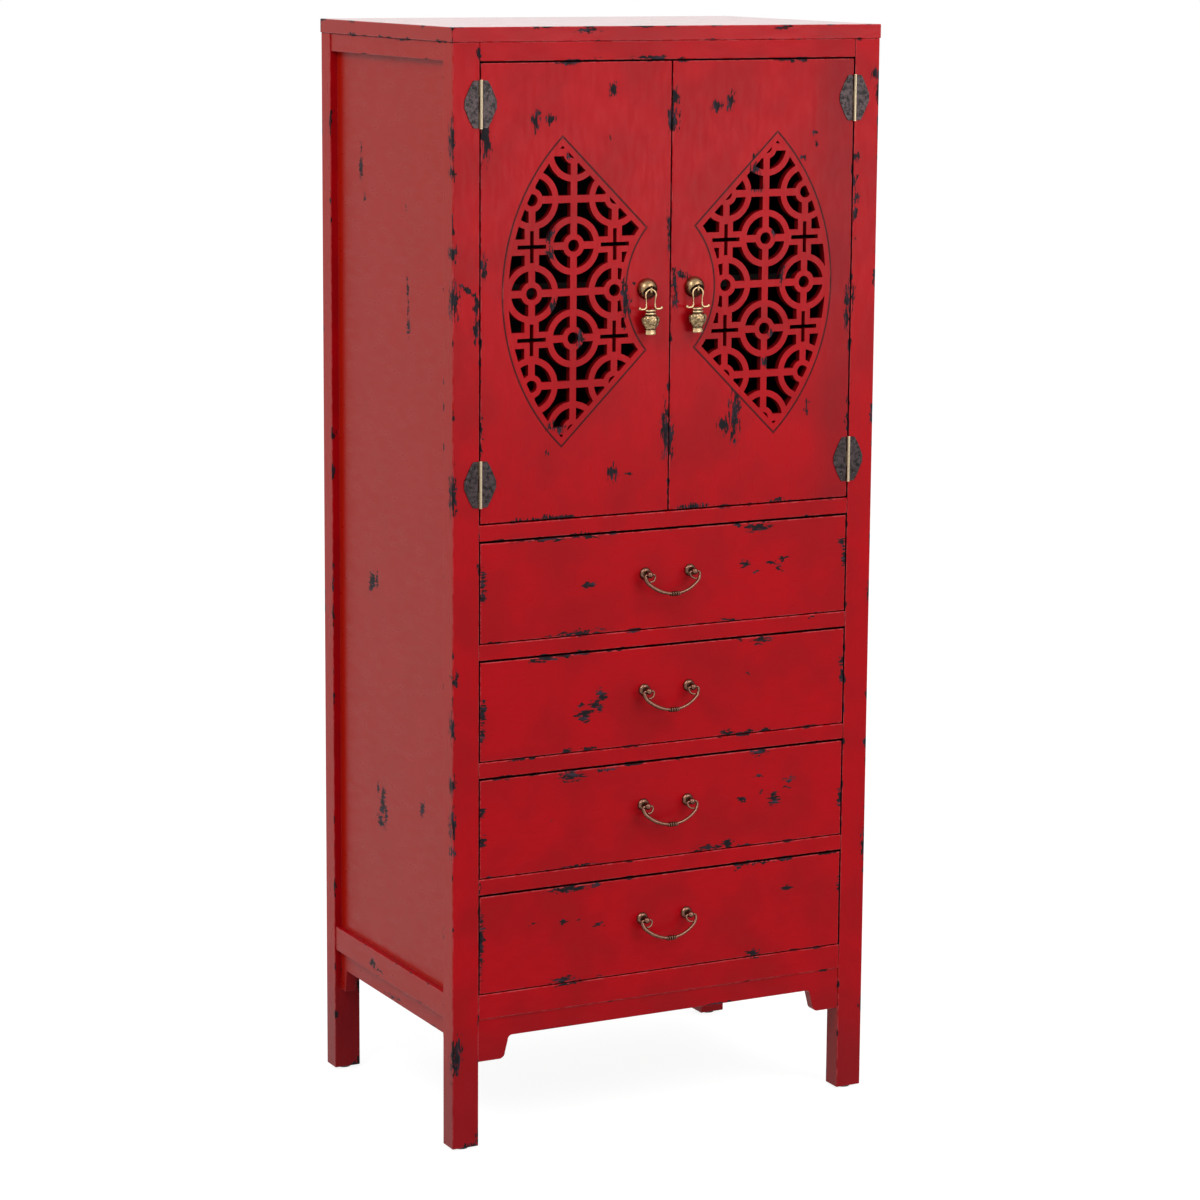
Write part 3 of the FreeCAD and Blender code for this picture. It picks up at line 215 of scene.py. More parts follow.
def red_lacquer(
    name, low, high, grain="Z", flakes=(), worn=1.0, fold=None, joint=None, gleam=0.27,
    edge_shade=0.0, shade_inside=False, stain=None,
):
    """Worn red lacquer on a board with these corners. A flake is (x, y, z, half width, half
    height, turn), in millimetres; its half height is its reach up and its half width its reach
    along the face. Worn is how far the edges are rubbed through. A fold makes a mirrored pair, or
    a row of like rails, wear alike. A joint is the distance from a glued seam that shows through
    the lacquer, the gleam is its roughness, the edge shade is how dark the narrow edges of a door,
    a drawer or a lattice are painted, as painted shade for the gaps round them, with shade inside
    the faces that look into the cabinet are painted in the dark ground coat, as painted shade for
    the unlit inside, and a stain is the share of a browner tone."""
    finish, tree, gloss, place_mm = new_finish(name)
    folded = fold(tree, place_mm) if fold else place_mm
    along = along_grain(tree, place_mm, grain, LACQUER_STRETCH)
    ragged = add_step(tree, "TexNoise", along, *RAGGED)
    patches = add_step(tree, "TexNoise", place_mm, *PATCHES)
    blotches = add_step(tree, "TexNoise", place_mm, *BLOTCHES)
    brushed = add_step(tree, "TexNoise", along, *BRUSHED)
    edge = edge_distance(tree, folded, low, high)

    reach = between(tree, patches, 0.56, 0.72, LEAST_WEAR, MOST_WEAR * worn)
    uneven = between(tree, ragged, 0.32, 0.68, 0.0, 1.5)
    reach = reckon(tree, "MULTIPLY", reach, uneven)
    margin = reckon(tree, "SUBTRACT", edge, reach)
    bare = between(tree, margin, -0.15, 0.25, 1.0, 0.0)

    halo = None
    if flakes:
        nearest = nearest_flake(tree, place_mm, grain, flakes)
        rough_edge = between(tree, ragged, 0.3, 0.7, -FLAKE_RAGGEDNESS, FLAKE_RAGGEDNESS)
        rim = reckon(tree, "ADD", nearest, rough_edge)
        flaked = between(tree, rim, 0.94, 1.06, 1.0, 0.0)
        halo = between(tree, rim, 1.0, 1.7, 1.0, 0.0)
        bare = reckon(tree, "MAXIMUM", bare, flaked)

    depth = between(tree, blotches, 0.36, 0.66)
    colour = blend_colour(tree, depth, RED, DEEP_RED)
    thin = between(tree, brushed, 0.35, 0.72, 0.0, 0.3)
    colour = blend_colour(tree, thin, colour, DEEP_RED)
    unsigned = reckon_place(tree, "ABSOLUTE", facing(tree))
    sideways, forwards, _ = split(tree, unsigned)
    if edge_shade:
        # Faces that don't look forwards, the narrow edges and the walls of the lattice's openings,
        # are painted dark: painted shade for the gaps and holes.
        gap_shade = between(tree, forwards, 0.4, 0.8, edge_shade, 0.0)
        colour = blend_colour(tree, gap_shade, colour, SEAM_AND_GAP_SHADE_RED)
    else:
        # Faces that look sideways are painted a brighter, oranger red: painted light for how the
        # sides catch the light.
        side_light = between(tree, sideways, 0.5, 0.8, 0.0, 0.8)
        colour = blend_colour(tree, side_light, colour, SIDE_LIT_RED)
    # Every board is painted darker towards the floor: painted shade for the light that falls off
    # near the floor.
    foot_shade = between(tree, split(tree, place_mm)[2], FOOT_SHADE_LOW, FOOT_SHADE_HIGH, 0.55, 0.0)
    colour = blend_colour(tree, foot_shade, colour, STAIN_AND_SHADE_RED)
    if stain is not None:
        colour = blend_colour(tree, stain(tree, place_mm), colour, STAIN_AND_SHADE_RED)
    if halo is not None:
        rubbed = reckon(tree, "MULTIPLY", halo, 0.3)
        colour = blend_colour(tree, rubbed, colour, STAIN_AND_SHADE_RED)
    if joint is not None:
        seam = between(tree, joint(tree, place_mm), 0.5, 1.9, 0.95, 0.0)
        colour = blend_colour(tree, seam, colour, SEAM_AND_GAP_SHADE_RED)
    # A pale pink line in ragged stretches along every edge: partly lacquer rubbed thin, partly a
    # painted highlight where the edges catch the light.
    edge_glint = between(tree, edge, 0.5, 1.5, 0.75, 0.0)
    pale = between(tree, ragged, 0.4, 0.62)
    edge_glint = reckon(tree, "MULTIPLY", edge_glint, pale)
    colour = blend_colour(tree, edge_glint, colour, RUBBED_AND_GLINT_RED)
    coat = blend_colour(tree, between(tree, brushed, 0.45, 0.75), GROUND_COAT, DUSTY_COAT)
    colour = blend_colour(tree, bare, colour, coat)
    # Faces that look into the cabinet are painted in the near-black ground coat: painted shade for
    # the unlit inside.
    if shade_inside:
        colour = blend_colour(tree, looks_inside(tree, place_mm), colour, GROUND_COAT)
    tree.links.new(colour, gloss.inputs["Base Color"])

    smooth = between(tree, brushed, 0.3, 0.7, gleam, gleam + 0.09)
    matt = add_step(tree, "Mix", bare, smooth, 0.55, data_type="FLOAT")
    tree.links.new(matt, gloss.inputs["Roughness"])
    gloss.inputs["Specular IOR Level"].default_value = 0.11

    ripple = add_step(tree, "TexNoise", place_mm, *RIPPLE)
    relief = reckon(tree, "MULTIPLY", ripple, 0.16)
    strokes = reckon(tree, "MULTIPLY", brushed, 0.10)
    relief = reckon(tree, "ADD", relief, strokes)
    lost = reckon(tree, "MULTIPLY", bare, 0.10)
    relief = reckon(tree, "SUBTRACT", relief, lost)
    add_bump(tree, relief, 0.8, 0.0006)
    return finish


def paint(node, finish):
    """Gives a CAD piece its finish, on every slot it has."""
    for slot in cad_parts[node].material_slots:
        slot.material = finish


# The planes that the flakes' middles lie in
FRONT = -187.4
LEFT = -299.0


def front_flakes(*flakes):
    """Flakes on the front, each (x, z, half width, half height, turn)."""
    return [(x, FRONT, z, width, height, turn) for x, z, width, height, turn in flakes]


def left_flakes(*flakes):
    """Flakes on the left side, each (y, z, half width, half height, turn)."""
    return [(LEFT, y, z, width, height, turn) for y, z, width, height, turn in flakes]


POST_WEAR = 1.15
POST_FLAKES = {
    "front_left_post": front_flakes(
        (-299, 1266, 2.2, 20, 0), (-296, 1070, 5, 20, 0), (-281, 1085, 12, 3, 30),
        (-267, 1065, 3.5, 12, 0), (-268, 1035, 4, 14, 0), (-298, 836, 3.5, 24, 0),
        (-295, 606, 3, 8, 0), (-298, 422, 2.5, 15, 0), (-298, 386, 2, 9, 0),
        (-294, 122, 5.5, 22, 8), (-299, 1130, 5, 8, 0), (-299, 545, 3, 14, 0),
        (-299, 472, 3, 10, 0), (-298, 1227, 3, 7, 0),
    ),
    "front_right_post": front_flakes(
        (294, 1338, 6, 6, 30), (298, 1318, 3, 8, 0), (267, 1234, 4.5, 5, 0),
        (265, 1202, 3.5, 8, 0), (268, 1180, 3, 7, 20), (267, 1161, 3, 6, 0),
        (269, 1129, 1.5, 2, 0), (297, 669, 2, 10, 0), (297, 330, 3.5, 16, 0),
        (266, 1052, 2, 16, 0), (298, 905, 2.5, 12, 0), (298, 1080, 2, 9, 0),
    ),
    "rear_left_post": [],
    "rear_right_post": [],
}

for post, flakes in POST_FLAKES.items():
    post_low, post_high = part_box(post)
    post_lacquer = red_lacquer(
        f"{post}_lacquer", post_low, post_high, "Z", flakes, POST_WEAR, shade_inside=True
    )
    paint(post, post_lacquer)

# The top board lies over the posts and the top rails, with its long grain from side to side. It is
# lacquered and rubbed like the posts, and its upper face is waxed.

TOP_WEAR = 0.9
TOP_WAX = 0.5
TOP_WAX_ROUGHNESS = 0.12
TOP_GLEAM = 0.12
TOP_FLAKES = front_flakes(
    (-119, 1395, 16, 2.4, 0), (158, 1397, 9, 3.2, 0), (-188, 1399, 5, 1.5, 0),
    (-40, 1399, 9, 1.2, 0),
)
top_low, top_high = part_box("top_board")
top_lacquer = red_lacquer(
    "top_board_lacquer", top_low, top_high, "X", TOP_FLAKES, TOP_WEAR, gleam=TOP_GLEAM
)
tree = top_lacquer.node_tree
gloss = tree.nodes["Principled BSDF"]
upwards = split(tree, facing(tree))[2]
tree.links.new(between(tree, upwards, 0.5, 0.9, 0.0, TOP_WAX), gloss.inputs["Coat Weight"])
gloss.inputs["Coat Roughness"].default_value = TOP_WAX_ROUGHNESS
paint("top_board", top_lacquer)

# The front rails are short boards tenoned between the posts: one over the doors, one between the
# doors and the drawers, three between the drawers, and one under them.

RAIL_WEAR = 0.55
DRAWER_RAIL_WEAR = 0.5
DRAWER_PITCH = 149.0
DRAWER_RAIL_HEIGHT = 0.020


def like_drawer_rails(tree, place_mm):
    """The three rails between the drawers stand one pitch apart, and each wears like the last."""
    x, y, z = split(tree, place_mm)
    under_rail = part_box("drawer_rails")[0].z * TO_MM - 5
    z = reckon(tree, "SUBTRACT", z, under_rail)
    z = reckon(tree, "MODULO", z, DRAWER_PITCH)
    z = reckon(tree, "ADD", z, under_rail)
    return add_step(tree, "CombineXYZ", x, y, z)


RAIL_FLAKES = {
    "front_top_rail": front_flakes((-27, 1361, 24, 2.6, 0), (-110, 1360, 8, 1, 0)),
    "door_rail": front_flakes((-120, 775, 20, 1, 0), (196, 775, 12, 1, 0)),
    "front_bottom_rail": front_flakes((-135, 198, 16, 1.4, 0), (132, 198, 8, 1.2, 0)),
}
for rail, flakes in RAIL_FLAKES.items():
    rail_low, rail_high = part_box(rail)
    paint(rail, red_lacquer(f"{rail}_lacquer", rail_low, rail_high, "X", flakes, RAIL_WEAR))

DRAWER_RAIL_FLAKES = front_flakes(
    (-262, 335, 1, 8, 0), (212, 643, 3, 1.4, 0), (-200, 497, 22, 0.9, 0)
)
rails_low, rails_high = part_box("drawer_rails")
one_rail_high = Vector((rails_high.x, rails_high.y, rails_low.z + DRAWER_RAIL_HEIGHT))
drawer_rails_lacquer = red_lacquer(
    "drawer_rails_lacquer", rails_low, one_rail_high, "X", DRAWER_RAIL_FLAKES, DRAWER_RAIL_WEAR,
    like_drawer_rails,
)
paint("drawer_rails", drawer_rails_lacquer)

# The sides: a thin panel sits in each side frame, ten millimetres behind the posts, between a top
# and a bottom rail. Both sides are lacquered alike. The panels are flaked but not rubbed at their
# edges, which the frame shelters.

SIDE_RAIL_WEAR = 0.6
RIGHT_FLAKE_DROP = 60


def like_the_right(tree, place_mm):
    """The left piece wears like the right one."""
    x, y, z = split(tree, place_mm)
    x = reckon(tree, "ABSOLUTE", x)
    return add_step(tree, "CombineXYZ", x, y, z)


def right_half(node):
    """The corners of the right-hand piece of a pair."""
    low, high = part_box(node)
    inner = min(v.co.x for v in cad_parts[node].data.vertices if v.co.x > 0)
    return Vector((inner, low.y, low.z)), high


SIDE_PANEL_FLAKES = left_flakes(
    (108, 1215, 5, 11, 0), (107, 1239, 2, 8, 0), (-31, 1174, 1.8, 4, 0), (-37, 1028, 4.5, 10, 0),
    (-36, 1048, 1.6, 8, 10), (-35, 1072, 2.2, 12, -8), (76, 684, 8, 12, 30), (62, 690, 3, 8, 0),
    (46, 398, 6, 20, 10), (52, 372, 9, 6, 40), (36, 382, 4, 12, 0), (60, 415, 3, 8, 0),
    (-76, 417, 5, 9, 20), (96, 1180, 2, 5, 0),
)
for panel in ("left_panel", "right_panel"):
    panel_low, panel_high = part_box(panel)
    flakes = [(panel_low.x * TO_MM, *rest) for _, *rest in SIDE_PANEL_FLAKES]
    if panel == "right_panel":
        flakes = [
            (panel_high.x * TO_MM, -y, z - RIGHT_FLAKE_DROP, width, height, turn)
            for _, y, z, width, height, turn in SIDE_PANEL_FLAKES
        ]
    panel_lacquer = red_lacquer(
        f"{panel}_lacquer", panel_low, panel_high, "Y", flakes, 0.0, shade_inside=True
    )
    paint(panel, panel_lacquer)

SIDE_RAIL_FLAKES = {
    "side_top_rails": left_flakes((-40, 1381, 16, 1.4, 0)),
    "side_bottom_rails": left_flakes((61, 180, 9, 5, 20), (40, 176, 9, 2, 8)),
}
for rails, flakes in SIDE_RAIL_FLAKES.items():
    rails_low, rails_high = right_half(rails)
    rail_lacquer = red_lacquer(
        f"{rails}_lacquer", rails_low, rails_high, "Y", flakes, SIDE_RAIL_WEAR, like_the_right,
        shade_inside=True,
    )
    paint(rails, rail_lacquer)

# The aprons hang under the bottom rails. Each is sawn from one board, with a bracket at each end.
# They are lacquered like the rails, and flaked along their upper edge.

APRON_WEAR = 0.6
APRON_FLAKES = front_flakes((216, 124, 2.5, 8, 0), (80, 142, 18, 1.4, 0), (-150, 142, 22, 1.0, 0))
SIDE_APRON_FLAKES = left_flakes((8, 147, 26, 2.2, 0), (-110, 142, 8, 1.2, 0))
apron_low, apron_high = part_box("front_apron")
apron_lacquer = red_lacquer(
    "front_apron_lacquer", apron_low, apron_high, "X", APRON_FLAKES, APRON_WEAR
)
paint("front_apron", apron_lacquer)
apron_low, apron_high = right_half("side_aprons")
side_apron_lacquer = red_lacquer(
    "side_aprons_lacquer", apron_low, apron_high, "Y", SIDE_APRON_FLAKES, APRON_WEAR,
    like_the_right,
)
paint("side_aprons", side_apron_lacquer)

# The back and the inside: plain boards that were never lacquered. The back panel is set between
# the rear posts; it and the cupboard's floor, shelf, cleats and stop are a dark stain made nearly
# black, as painted shade for the unlit inside, and the drawer runners and guides are left pale.

PALE_WOOD = (0.36, 0.21, 0.10, 1.0)
DARK_WOOD = (0.20, 0.105, 0.045, 1.0)
# Nearly black: a dark stain, made darker still as painted shade for the unlit inside.
PALE_STAIN_AND_SHADE = (0.010, 0.006, 0.005, 1.0)
DARK_STAIN_AND_SHADE = (0.004, 0.003, 0.003, 1.0)
WOOD_STRETCH = 0.05
DRIFT = (0.03, 3.0, 0.5)
PORES = (1.6, 3.0, 0.7)
# The year rings: how fine they are, their distortion, and its detail, fineness and roughness
RINGS = (0.045, 6.0, 3.0, 1.2, 0.6)


def bare_wood(name, grain, pale=PALE_WOOD, dark=DARK_WOOD):
    """Sawn wood with long rings along its grain, open pores and a dull surface."""
    finish, tree, gloss, place_mm = new_finish(name)
    along = along_grain(tree, place_mm, grain, WOOD_STRETCH)
    drift = add_step(tree, "TexNoise", along, *DRIFT)
    rings = add_step(tree, "TexWave", along, *RINGS, bands_direction="DIAGONAL")
    pores = add_step(tree, "TexNoise", along, *PORES)
    pore_colour = tuple(c * 0.5 for c in dark[:3]) + (1.0,)
    colour = blend_colour(tree, between(tree, rings, 0.15, 0.9, 0.0, 0.55), pale, dark)
    colour = blend_colour(tree, between(tree, drift, 0.3, 0.75, 0.0, 0.4), colour, dark)
    colour = blend_colour(tree, between(tree, pores, 0.58, 0.75, 0.0, 0.45), colour, pore_colour)
    tree.links.new(colour, gloss.inputs["Base Color"])
    tree.links.new(between(tree, pores, 0.3, 0.7, 0.55, 0.75), gloss.inputs["Roughness"])
    gloss.inputs["Specular IOR Level"].default_value = 0.15
    add_bump(tree, pores, 0.5, 0.0003)
    return finish


shaded_stain_along_x = bare_wood("stain_and_shade_wood_along_x", "X", PALE_STAIN_AND_SHADE, DARK_STAIN_AND_SHADE)
shaded_stain_along_y = bare_wood("stain_and_shade_wood_along_y", "Y", PALE_STAIN_AND_SHADE, DARK_STAIN_AND_SHADE)
shaded_stain_along_z = bare_wood("stain_and_shade_wood_along_z", "Z", PALE_STAIN_AND_SHADE, DARK_STAIN_AND_SHADE)
wood_along_y = bare_wood("slide_wood_along_y", "Y")
for node in ("rear_top_rail", "rear_bottom_rail", "cupboard_floor", "shelf", "door_stop"):
    paint(node, shaded_stain_along_x)
for node in ("drawer_runners", "drawer_guides"):
    paint(node, wood_along_y)
paint("shelf_cleats", shaded_stain_along_y)
paint("back_panel", shaded_stain_along_z)

# The glides: small dark plastic buttons nailed under the posts. They keep the sawn ends of the
# legs off the floor, which scuffs them grey.

GLIDE_BLACK = (0.012, 0.011, 0.010, 1.0)
SCUFF_GREY = (0.05, 0.045, 0.04, 1.0)
SCUFFS = (0.6, 3.0, 0.6)
finish, tree, gloss, place_mm = new_finish("glide_plastic")
scuffs = add_step(tree, "TexNoise", place_mm, *SCUFFS)
colour = blend_colour(tree, between(tree, scuffs, 0.45, 0.7), GLIDE_BLACK, SCUFF_GREY)
tree.links.new(colour, gloss.inputs["Base Color"])
tree.links.new(between(tree, scuffs, 0.3, 0.7, 0.4, 0.6), gloss.inputs["Roughness"])
paint("foot_glides", finish)

# The doors: each is one flush lacquered board with a fan-shaped opening, into which a pierced
# lattice plate is let, flush with the face. The boards are flaked at the edges and on the face.

DOOR_WEAR = 0.8
# How dark the lattice's faces round its openings are painted, as painted shade.
LATTICE_EDGE_SHADE = 0.55
# The fan, in millimetres from its middle, outwards and up
FAN_MIDDLE = (131.1, 0.0, 1077.0)
WIDE_CENTRE = (-163.2, 0.0, 0.0)
WIDE_RADIUS = 264.2
SMALL_CENTRE = (-184.1, 0.0, 0.0)
SMALL_RADIUS = 115.6
FAN_TIP = Vector((19.95, 190.4, 0.0))
FAN_SIDE = Vector((-0.6993, 0.7149, 0.0))
STAIN_START = 195.0
STAIN_END = 240.0
DOOR_FLAKES = {
    "left": front_flakes(
        (-82, 1323, 5, 8, 0), (-188, 1288, 4.5, 11, 0), (-169, 1289, 6, 5, 0),
        (-255, 1264, 6, 20, 0), (-258, 1110, 3.5, 12, 0), (-152, 1356, 12, 1.6, 0),
        (-2, 1285, 3, 13, 0), (-2, 1144, 2.6, 24, 0), (-85, 1265, 1.6, 1.6, 0),
        (-60, 1043, 3.2, 16, 8), (-62.5, 1072, 2.4, 14, 0), (-52, 1084.5, 1.8, 1.6, 0),
        (-156, 909, 12, 6, 10), (-170, 878, 3.4, 4, 0), (-80, 849, 5.5, 10, 0),
        (-57, 846, 4, 2, 0), (-4.5, 900, 5.5, 28, 0), (-192, 798, 11, 2, 0),
        (-165, 798, 14, 3, 0), (-139, 798, 6, 2, 0), (-261, 905, 2, 20, 0),
    ),
    "right": front_flakes(
        (63.5, 1301, 6.5, 5.5, 0), (83, 1306, 4, 10, 10), (4.6, 1312, 4.5, 9, 0),
        (3, 1285, 6, 11, 0), (167, 1356, 10, 1.6, 0), (186, 1355, 4, 2, 0), (206, 1265, 3, 2, 0),
        (208, 1251, 2, 3, 0), (188, 1235, 4, 3, 30), (121, 1234, 5, 6, 0), (15, 1092, 10, 4, 20),
        (5.8, 1083, 3.5, 16, 0), (7.7, 1065, 3.5, 12, 0), (258, 1054, 3.5, 16, 0),
        (257, 1030, 3.5, 14, 0), (94, 912, 6.5, 27, 3), (79, 900, 7, 9, 25), (94, 946, 4, 5, 0),
        (199, 915, 2.8, 8, 0), (2.7, 888, 3.5, 20, 0), (35, 799, 19, 3.2, 0), (158, 799, 9, 2, 0),
        (260, 900, 2, 6, 0), (18, 1091, 6, 2.5, 25),
    ),
}


def fan_joint_distance(tree, place_mm):
    """How far a point is from the seam between a door's board and its fan-shaped lattice plate:
    a wide arc towards the hinges, a smaller one towards the pulls, and two straight sides."""
    from_middle = like_the_right(tree, place_mm)
    from_middle = reckon_place(tree, "SUBTRACT", from_middle, FAN_MIDDLE)
    out, _, rise = split(tree, from_middle)
    rise = reckon(tree, "ABSOLUTE", rise)
    flat = add_step(tree, "CombineXYZ", out, rise, 0.0)
    wide = reckon_place(tree, "DISTANCE", flat, WIDE_CENTRE)
    wide = reckon(tree, "SUBTRACT", wide, WIDE_RADIUS)
    small = reckon_place(tree, "DISTANCE", flat, SMALL_CENTRE)
    small = reckon(tree, "SUBTRACT", SMALL_RADIUS, small)
    straight = reckon_place(tree, "DOT_PRODUCT", flat, FAN_SIDE)
    straight = reckon(tree, "SUBTRACT", straight, FAN_SIDE.dot(FAN_TIP))
    beyond = reckon(tree, "MAXIMUM", wide, small)
    beyond = reckon(tree, "MAXIMUM", beyond, straight)
    return reckon(tree, "ABSOLUTE", beyond)


def hinge_side_stain(tree, place_mm):
    """The right door's board is browner along its hinges."""
    return between(tree, split(tree, place_mm)[0], STAIN_START, STAIN_END, 0.0, 0.45)


LATTICE_FLAKES = {
    "left": front_flakes(
        (-143, 1243, 2, 4, 0), (-125, 1017, 5, 12, -15), (-163, 1060, 5, 9, 0),
        (-156, 911, 9, 6, 10), (-168, 1150, 4, 9, 20), (-167, 1125, 4, 7, 0),
        (-64, 1056, 3.2, 20, 4), (-65.5, 1080, 2.4, 12, 0),
    ),
    "right": front_flakes(
        (119, 1221, 8, 6, 0), (121, 1200, 7, 6, 0), (137, 977, 5, 6, 0), (146, 1013, 4, 5, 0),
        (160, 1085, 3, 12, 10), (148, 1142, 3, 6, 0),
    ),
}
for side in ("left", "right"):
    door_low, door_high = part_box(f"{side}_door_panel")
    # The doors' narrow edges and the lattice's openings are painted dark, as painted shade for the
    # gaps and the holes.
    door_lacquer = red_lacquer(
        f"{side}_door_lacquer", door_low, door_high, "Z", DOOR_FLAKES[side], DOOR_WEAR,
        joint=fan_joint_distance, edge_shade=1.0, stain=hinge_side_stain,
    )
    paint(f"{side}_door_panel", door_lacquer)
    lattice_low, lattice_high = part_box(f"{side}_door_lattice")
    lattice_lacquer = red_lacquer(
        f"{side}_lattice_lacquer", lattice_low, lattice_high, "Z", LATTICE_FLAKES[side], 0.0,
        joint=fan_joint_distance, edge_shade=LATTICE_EDGE_SHADE,
    )
    paint(f"{side}_door_lattice", lattice_lacquer)

# The drawers: a flush lacquered front with a plain wooden box nailed and glued behind it. The box
# is bare pale wood, and the front's narrow edges are painted dark, as painted shade for the gaps
# round the front.

DRAWER_WEAR = 0.6
DRAWER_FLAKES = {
    "drawer_1": front_flakes(
        (-165, 771, 32, 1.4, 0), (-110, 771, 14, 1.2, 0), (131, 766, 15, 5, 0),
        (102, 771, 5, 2, 0), (-111, 709, 7.5, 4, 0), (113, 720, 7, 4, 0), (169, 723, 6, 2.6, 0),
        (152, 718, 9, 1.5, 10), (130, 709, 3.5, 2, 0), (163, 710, 6, 3, 20),
        (-258, 725, 3.5, 12, 0), (-258, 708, 3, 7, 0), (256, 738, 4, 6, 0), (260, 719, 3, 12, 0),
        (-125, 650, 30, 3, 0), (94, 649, 9, 1.6, 0),
    ),
    "drawer_2": front_flakes(
        (-169, 621, 13, 3, 0), (-142, 622, 6, 1.4, 0), (-190, 621, 5, 1.4, 0), (108, 621, 5, 2, 0),
        (138, 618, 12, 4, 0), (-92, 567, 6, 7, 0), (-100, 556, 9, 5, 20), (-115, 544, 10, 7, 0),
        (-121, 558, 6, 2, 0), (-258, 561, 3.5, 12, 0), (-259, 531, 3, 8, 0), (260, 581, 3, 7, 0),
        (260, 561, 3, 8, 0), (-142, 500, 6, 2, 0), (-111, 500, 11, 1.2, 0), (90, 501, 7, 3.2, 0),
        (123, 500, 5, 2.4, 0), (144, 500, 7, 2, 0), (119, 577, 3.5, 1, 0),
    ),
    "drawer_3": front_flakes(
        (-135, 468, 15, 5, 0), (-81, 471, 13, 1.2, 0), (138, 471, 11, 3.4, 0),
        (161, 407, 7, 8, 0), (185, 431, 7.5, 3.6, 0), (177, 420, 5, 1.6, 0), (139, 440, 5, 1, 0),
        (141, 420, 2, 2.4, 0), (113, 411, 6, 2, 20), (-258, 434, 3, 6, 0), (-258, 397, 3.5, 7, 0),
        (260, 399, 3, 12, 0), (-123, 351, 20, 1.3, 0), (65, 353, 17, 3.2, 0),
        (92, 354, 7, 4.4, 0), (119, 350, 11, 1.2, 0), (-161, 413, 1.6, 1.2, 0),
    ),
    "drawer_4": front_flakes(
        (-135, 322, 27, 2.8, 0), (-100, 322, 8, 2, 0), (107, 322, 3.4, 3, 0),
        (142, 324, 17, 1.2, 0), (-145, 280, 5.5, 2.2, 0), (-124, 280, 2.4, 2, 0),
        (-95, 271, 6.5, 2.2, 0), (-187, 282, 5, 1.1, 0), (180, 286, 6.5, 3, 0),
        (-260, 270, 3.5, 33, 0), (261, 280, 2, 12, 0), (-142, 203, 15, 4, 0),
        (133, 204, 10, 3, 0), (-92, 202, 3, 1.2, 0),
    ),
}
drawer_wood_along_x = bare_wood("drawer_wood_along_x", "X")
drawer_wood_along_y = bare_wood("drawer_wood_along_y", "Y")
for drawer, flakes in DRAWER_FLAKES.items():
    front_low, front_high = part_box(f"{drawer}_front")
    front_lacquer = red_lacquer(
        f"{drawer}_front_lacquer", front_low, front_high, "X", flakes, DRAWER_WEAR, edge_shade=1.0
    )
    paint(f"{drawer}_front", front_lacquer)
    paint(f"{drawer}_box", drawer_wood_along_y)
    paint(f"{drawer}_bottom", drawer_wood_along_x)

# The hinges: two butterfly leaves of darkened bronze sheet on each, nailed on with round-headed
# black nails, and a brass pin through the bright knuckles between them.

# The direction of the high left lamp, up, forwards and to the left: metal that faces it is painted
# brighter, partly rubbed wear and partly a painted highlight.
TOWARDS_LEFT_LAMP = (-0.45, -0.68, 0.58)
HINGE_X = 262.25
KNUCKLE_RADIUS = 2.0
KNUCKLE_BRASS = (0.44, 0.35, 0.23, 1.0)


def aged_metal(name, bright, dull, speckle, roughness, dark_share=0.5, specks=0.35, rubbed=0.0):
    """Worn metal: bright where it is rubbed, dull where it is not, with pits and a fine grain. The
    speckle is how fine its patches are, and the rubbed share how much brighter the parts are that
    face up, forwards and to the left, towards the high left lamp: partly rubbed wear and partly a
    painted highlight. The parts that face away from that lamp are painted duller, as painted
    shade."""
    bright, dull = (*bright, 1.0), (*dull, 1.0)
    finish, tree, gloss, place_mm = new_finish(name)
    patches = add_step(tree, "TexNoise", place_mm, speckle, 4.0, 0.6)
    fine = add_step(tree, "TexNoise", place_mm, speckle * 6, 3.0, 0.6)
    share = between(tree, patches, 0.5 - 0.2 * dark_share, 0.75 - 0.2 * dark_share)
    # Where the face looks towards the high left lamp the dark share is lifted, a painted
    # highlight, and where it looks away the dark share is raised, painted shade.
    if rubbed:
        outwards = reckon_place(tree, "DOT_PRODUCT", facing(tree), TOWARDS_LEFT_LAMP)
        dark_left_by_highlight = between(tree, outwards, 0.35, 0.95, 1.0, 1.0 - rubbed)
        painted_shade_share = between(tree, outwards, 0.0, 0.95, 0.85 * rubbed, 0.0)
        share = reckon(tree, "MULTIPLY", share, dark_left_by_highlight)
        share = reckon(tree, "MAXIMUM", share, painted_shade_share)
    colour = blend_colour(tree, share, bright, dull)
    pits = between(tree, fine, 0.58, 0.72, 0.0, specks)
    colour = blend_colour(tree, pits, colour, tuple(c * 0.25 for c in dull[:3]) + (1.0,))
    tree.links.new(colour, gloss.inputs["Base Color"])
    dullness = between(tree, fine, 0.3, 0.75, roughness - 0.06, roughness + 0.12)
    tree.links.new(dullness, gloss.inputs["Roughness"])
    gloss.inputs["Metallic"].default_value = 1.0
    add_bump(tree, fine, 0.22, 0.0002)
    return finish


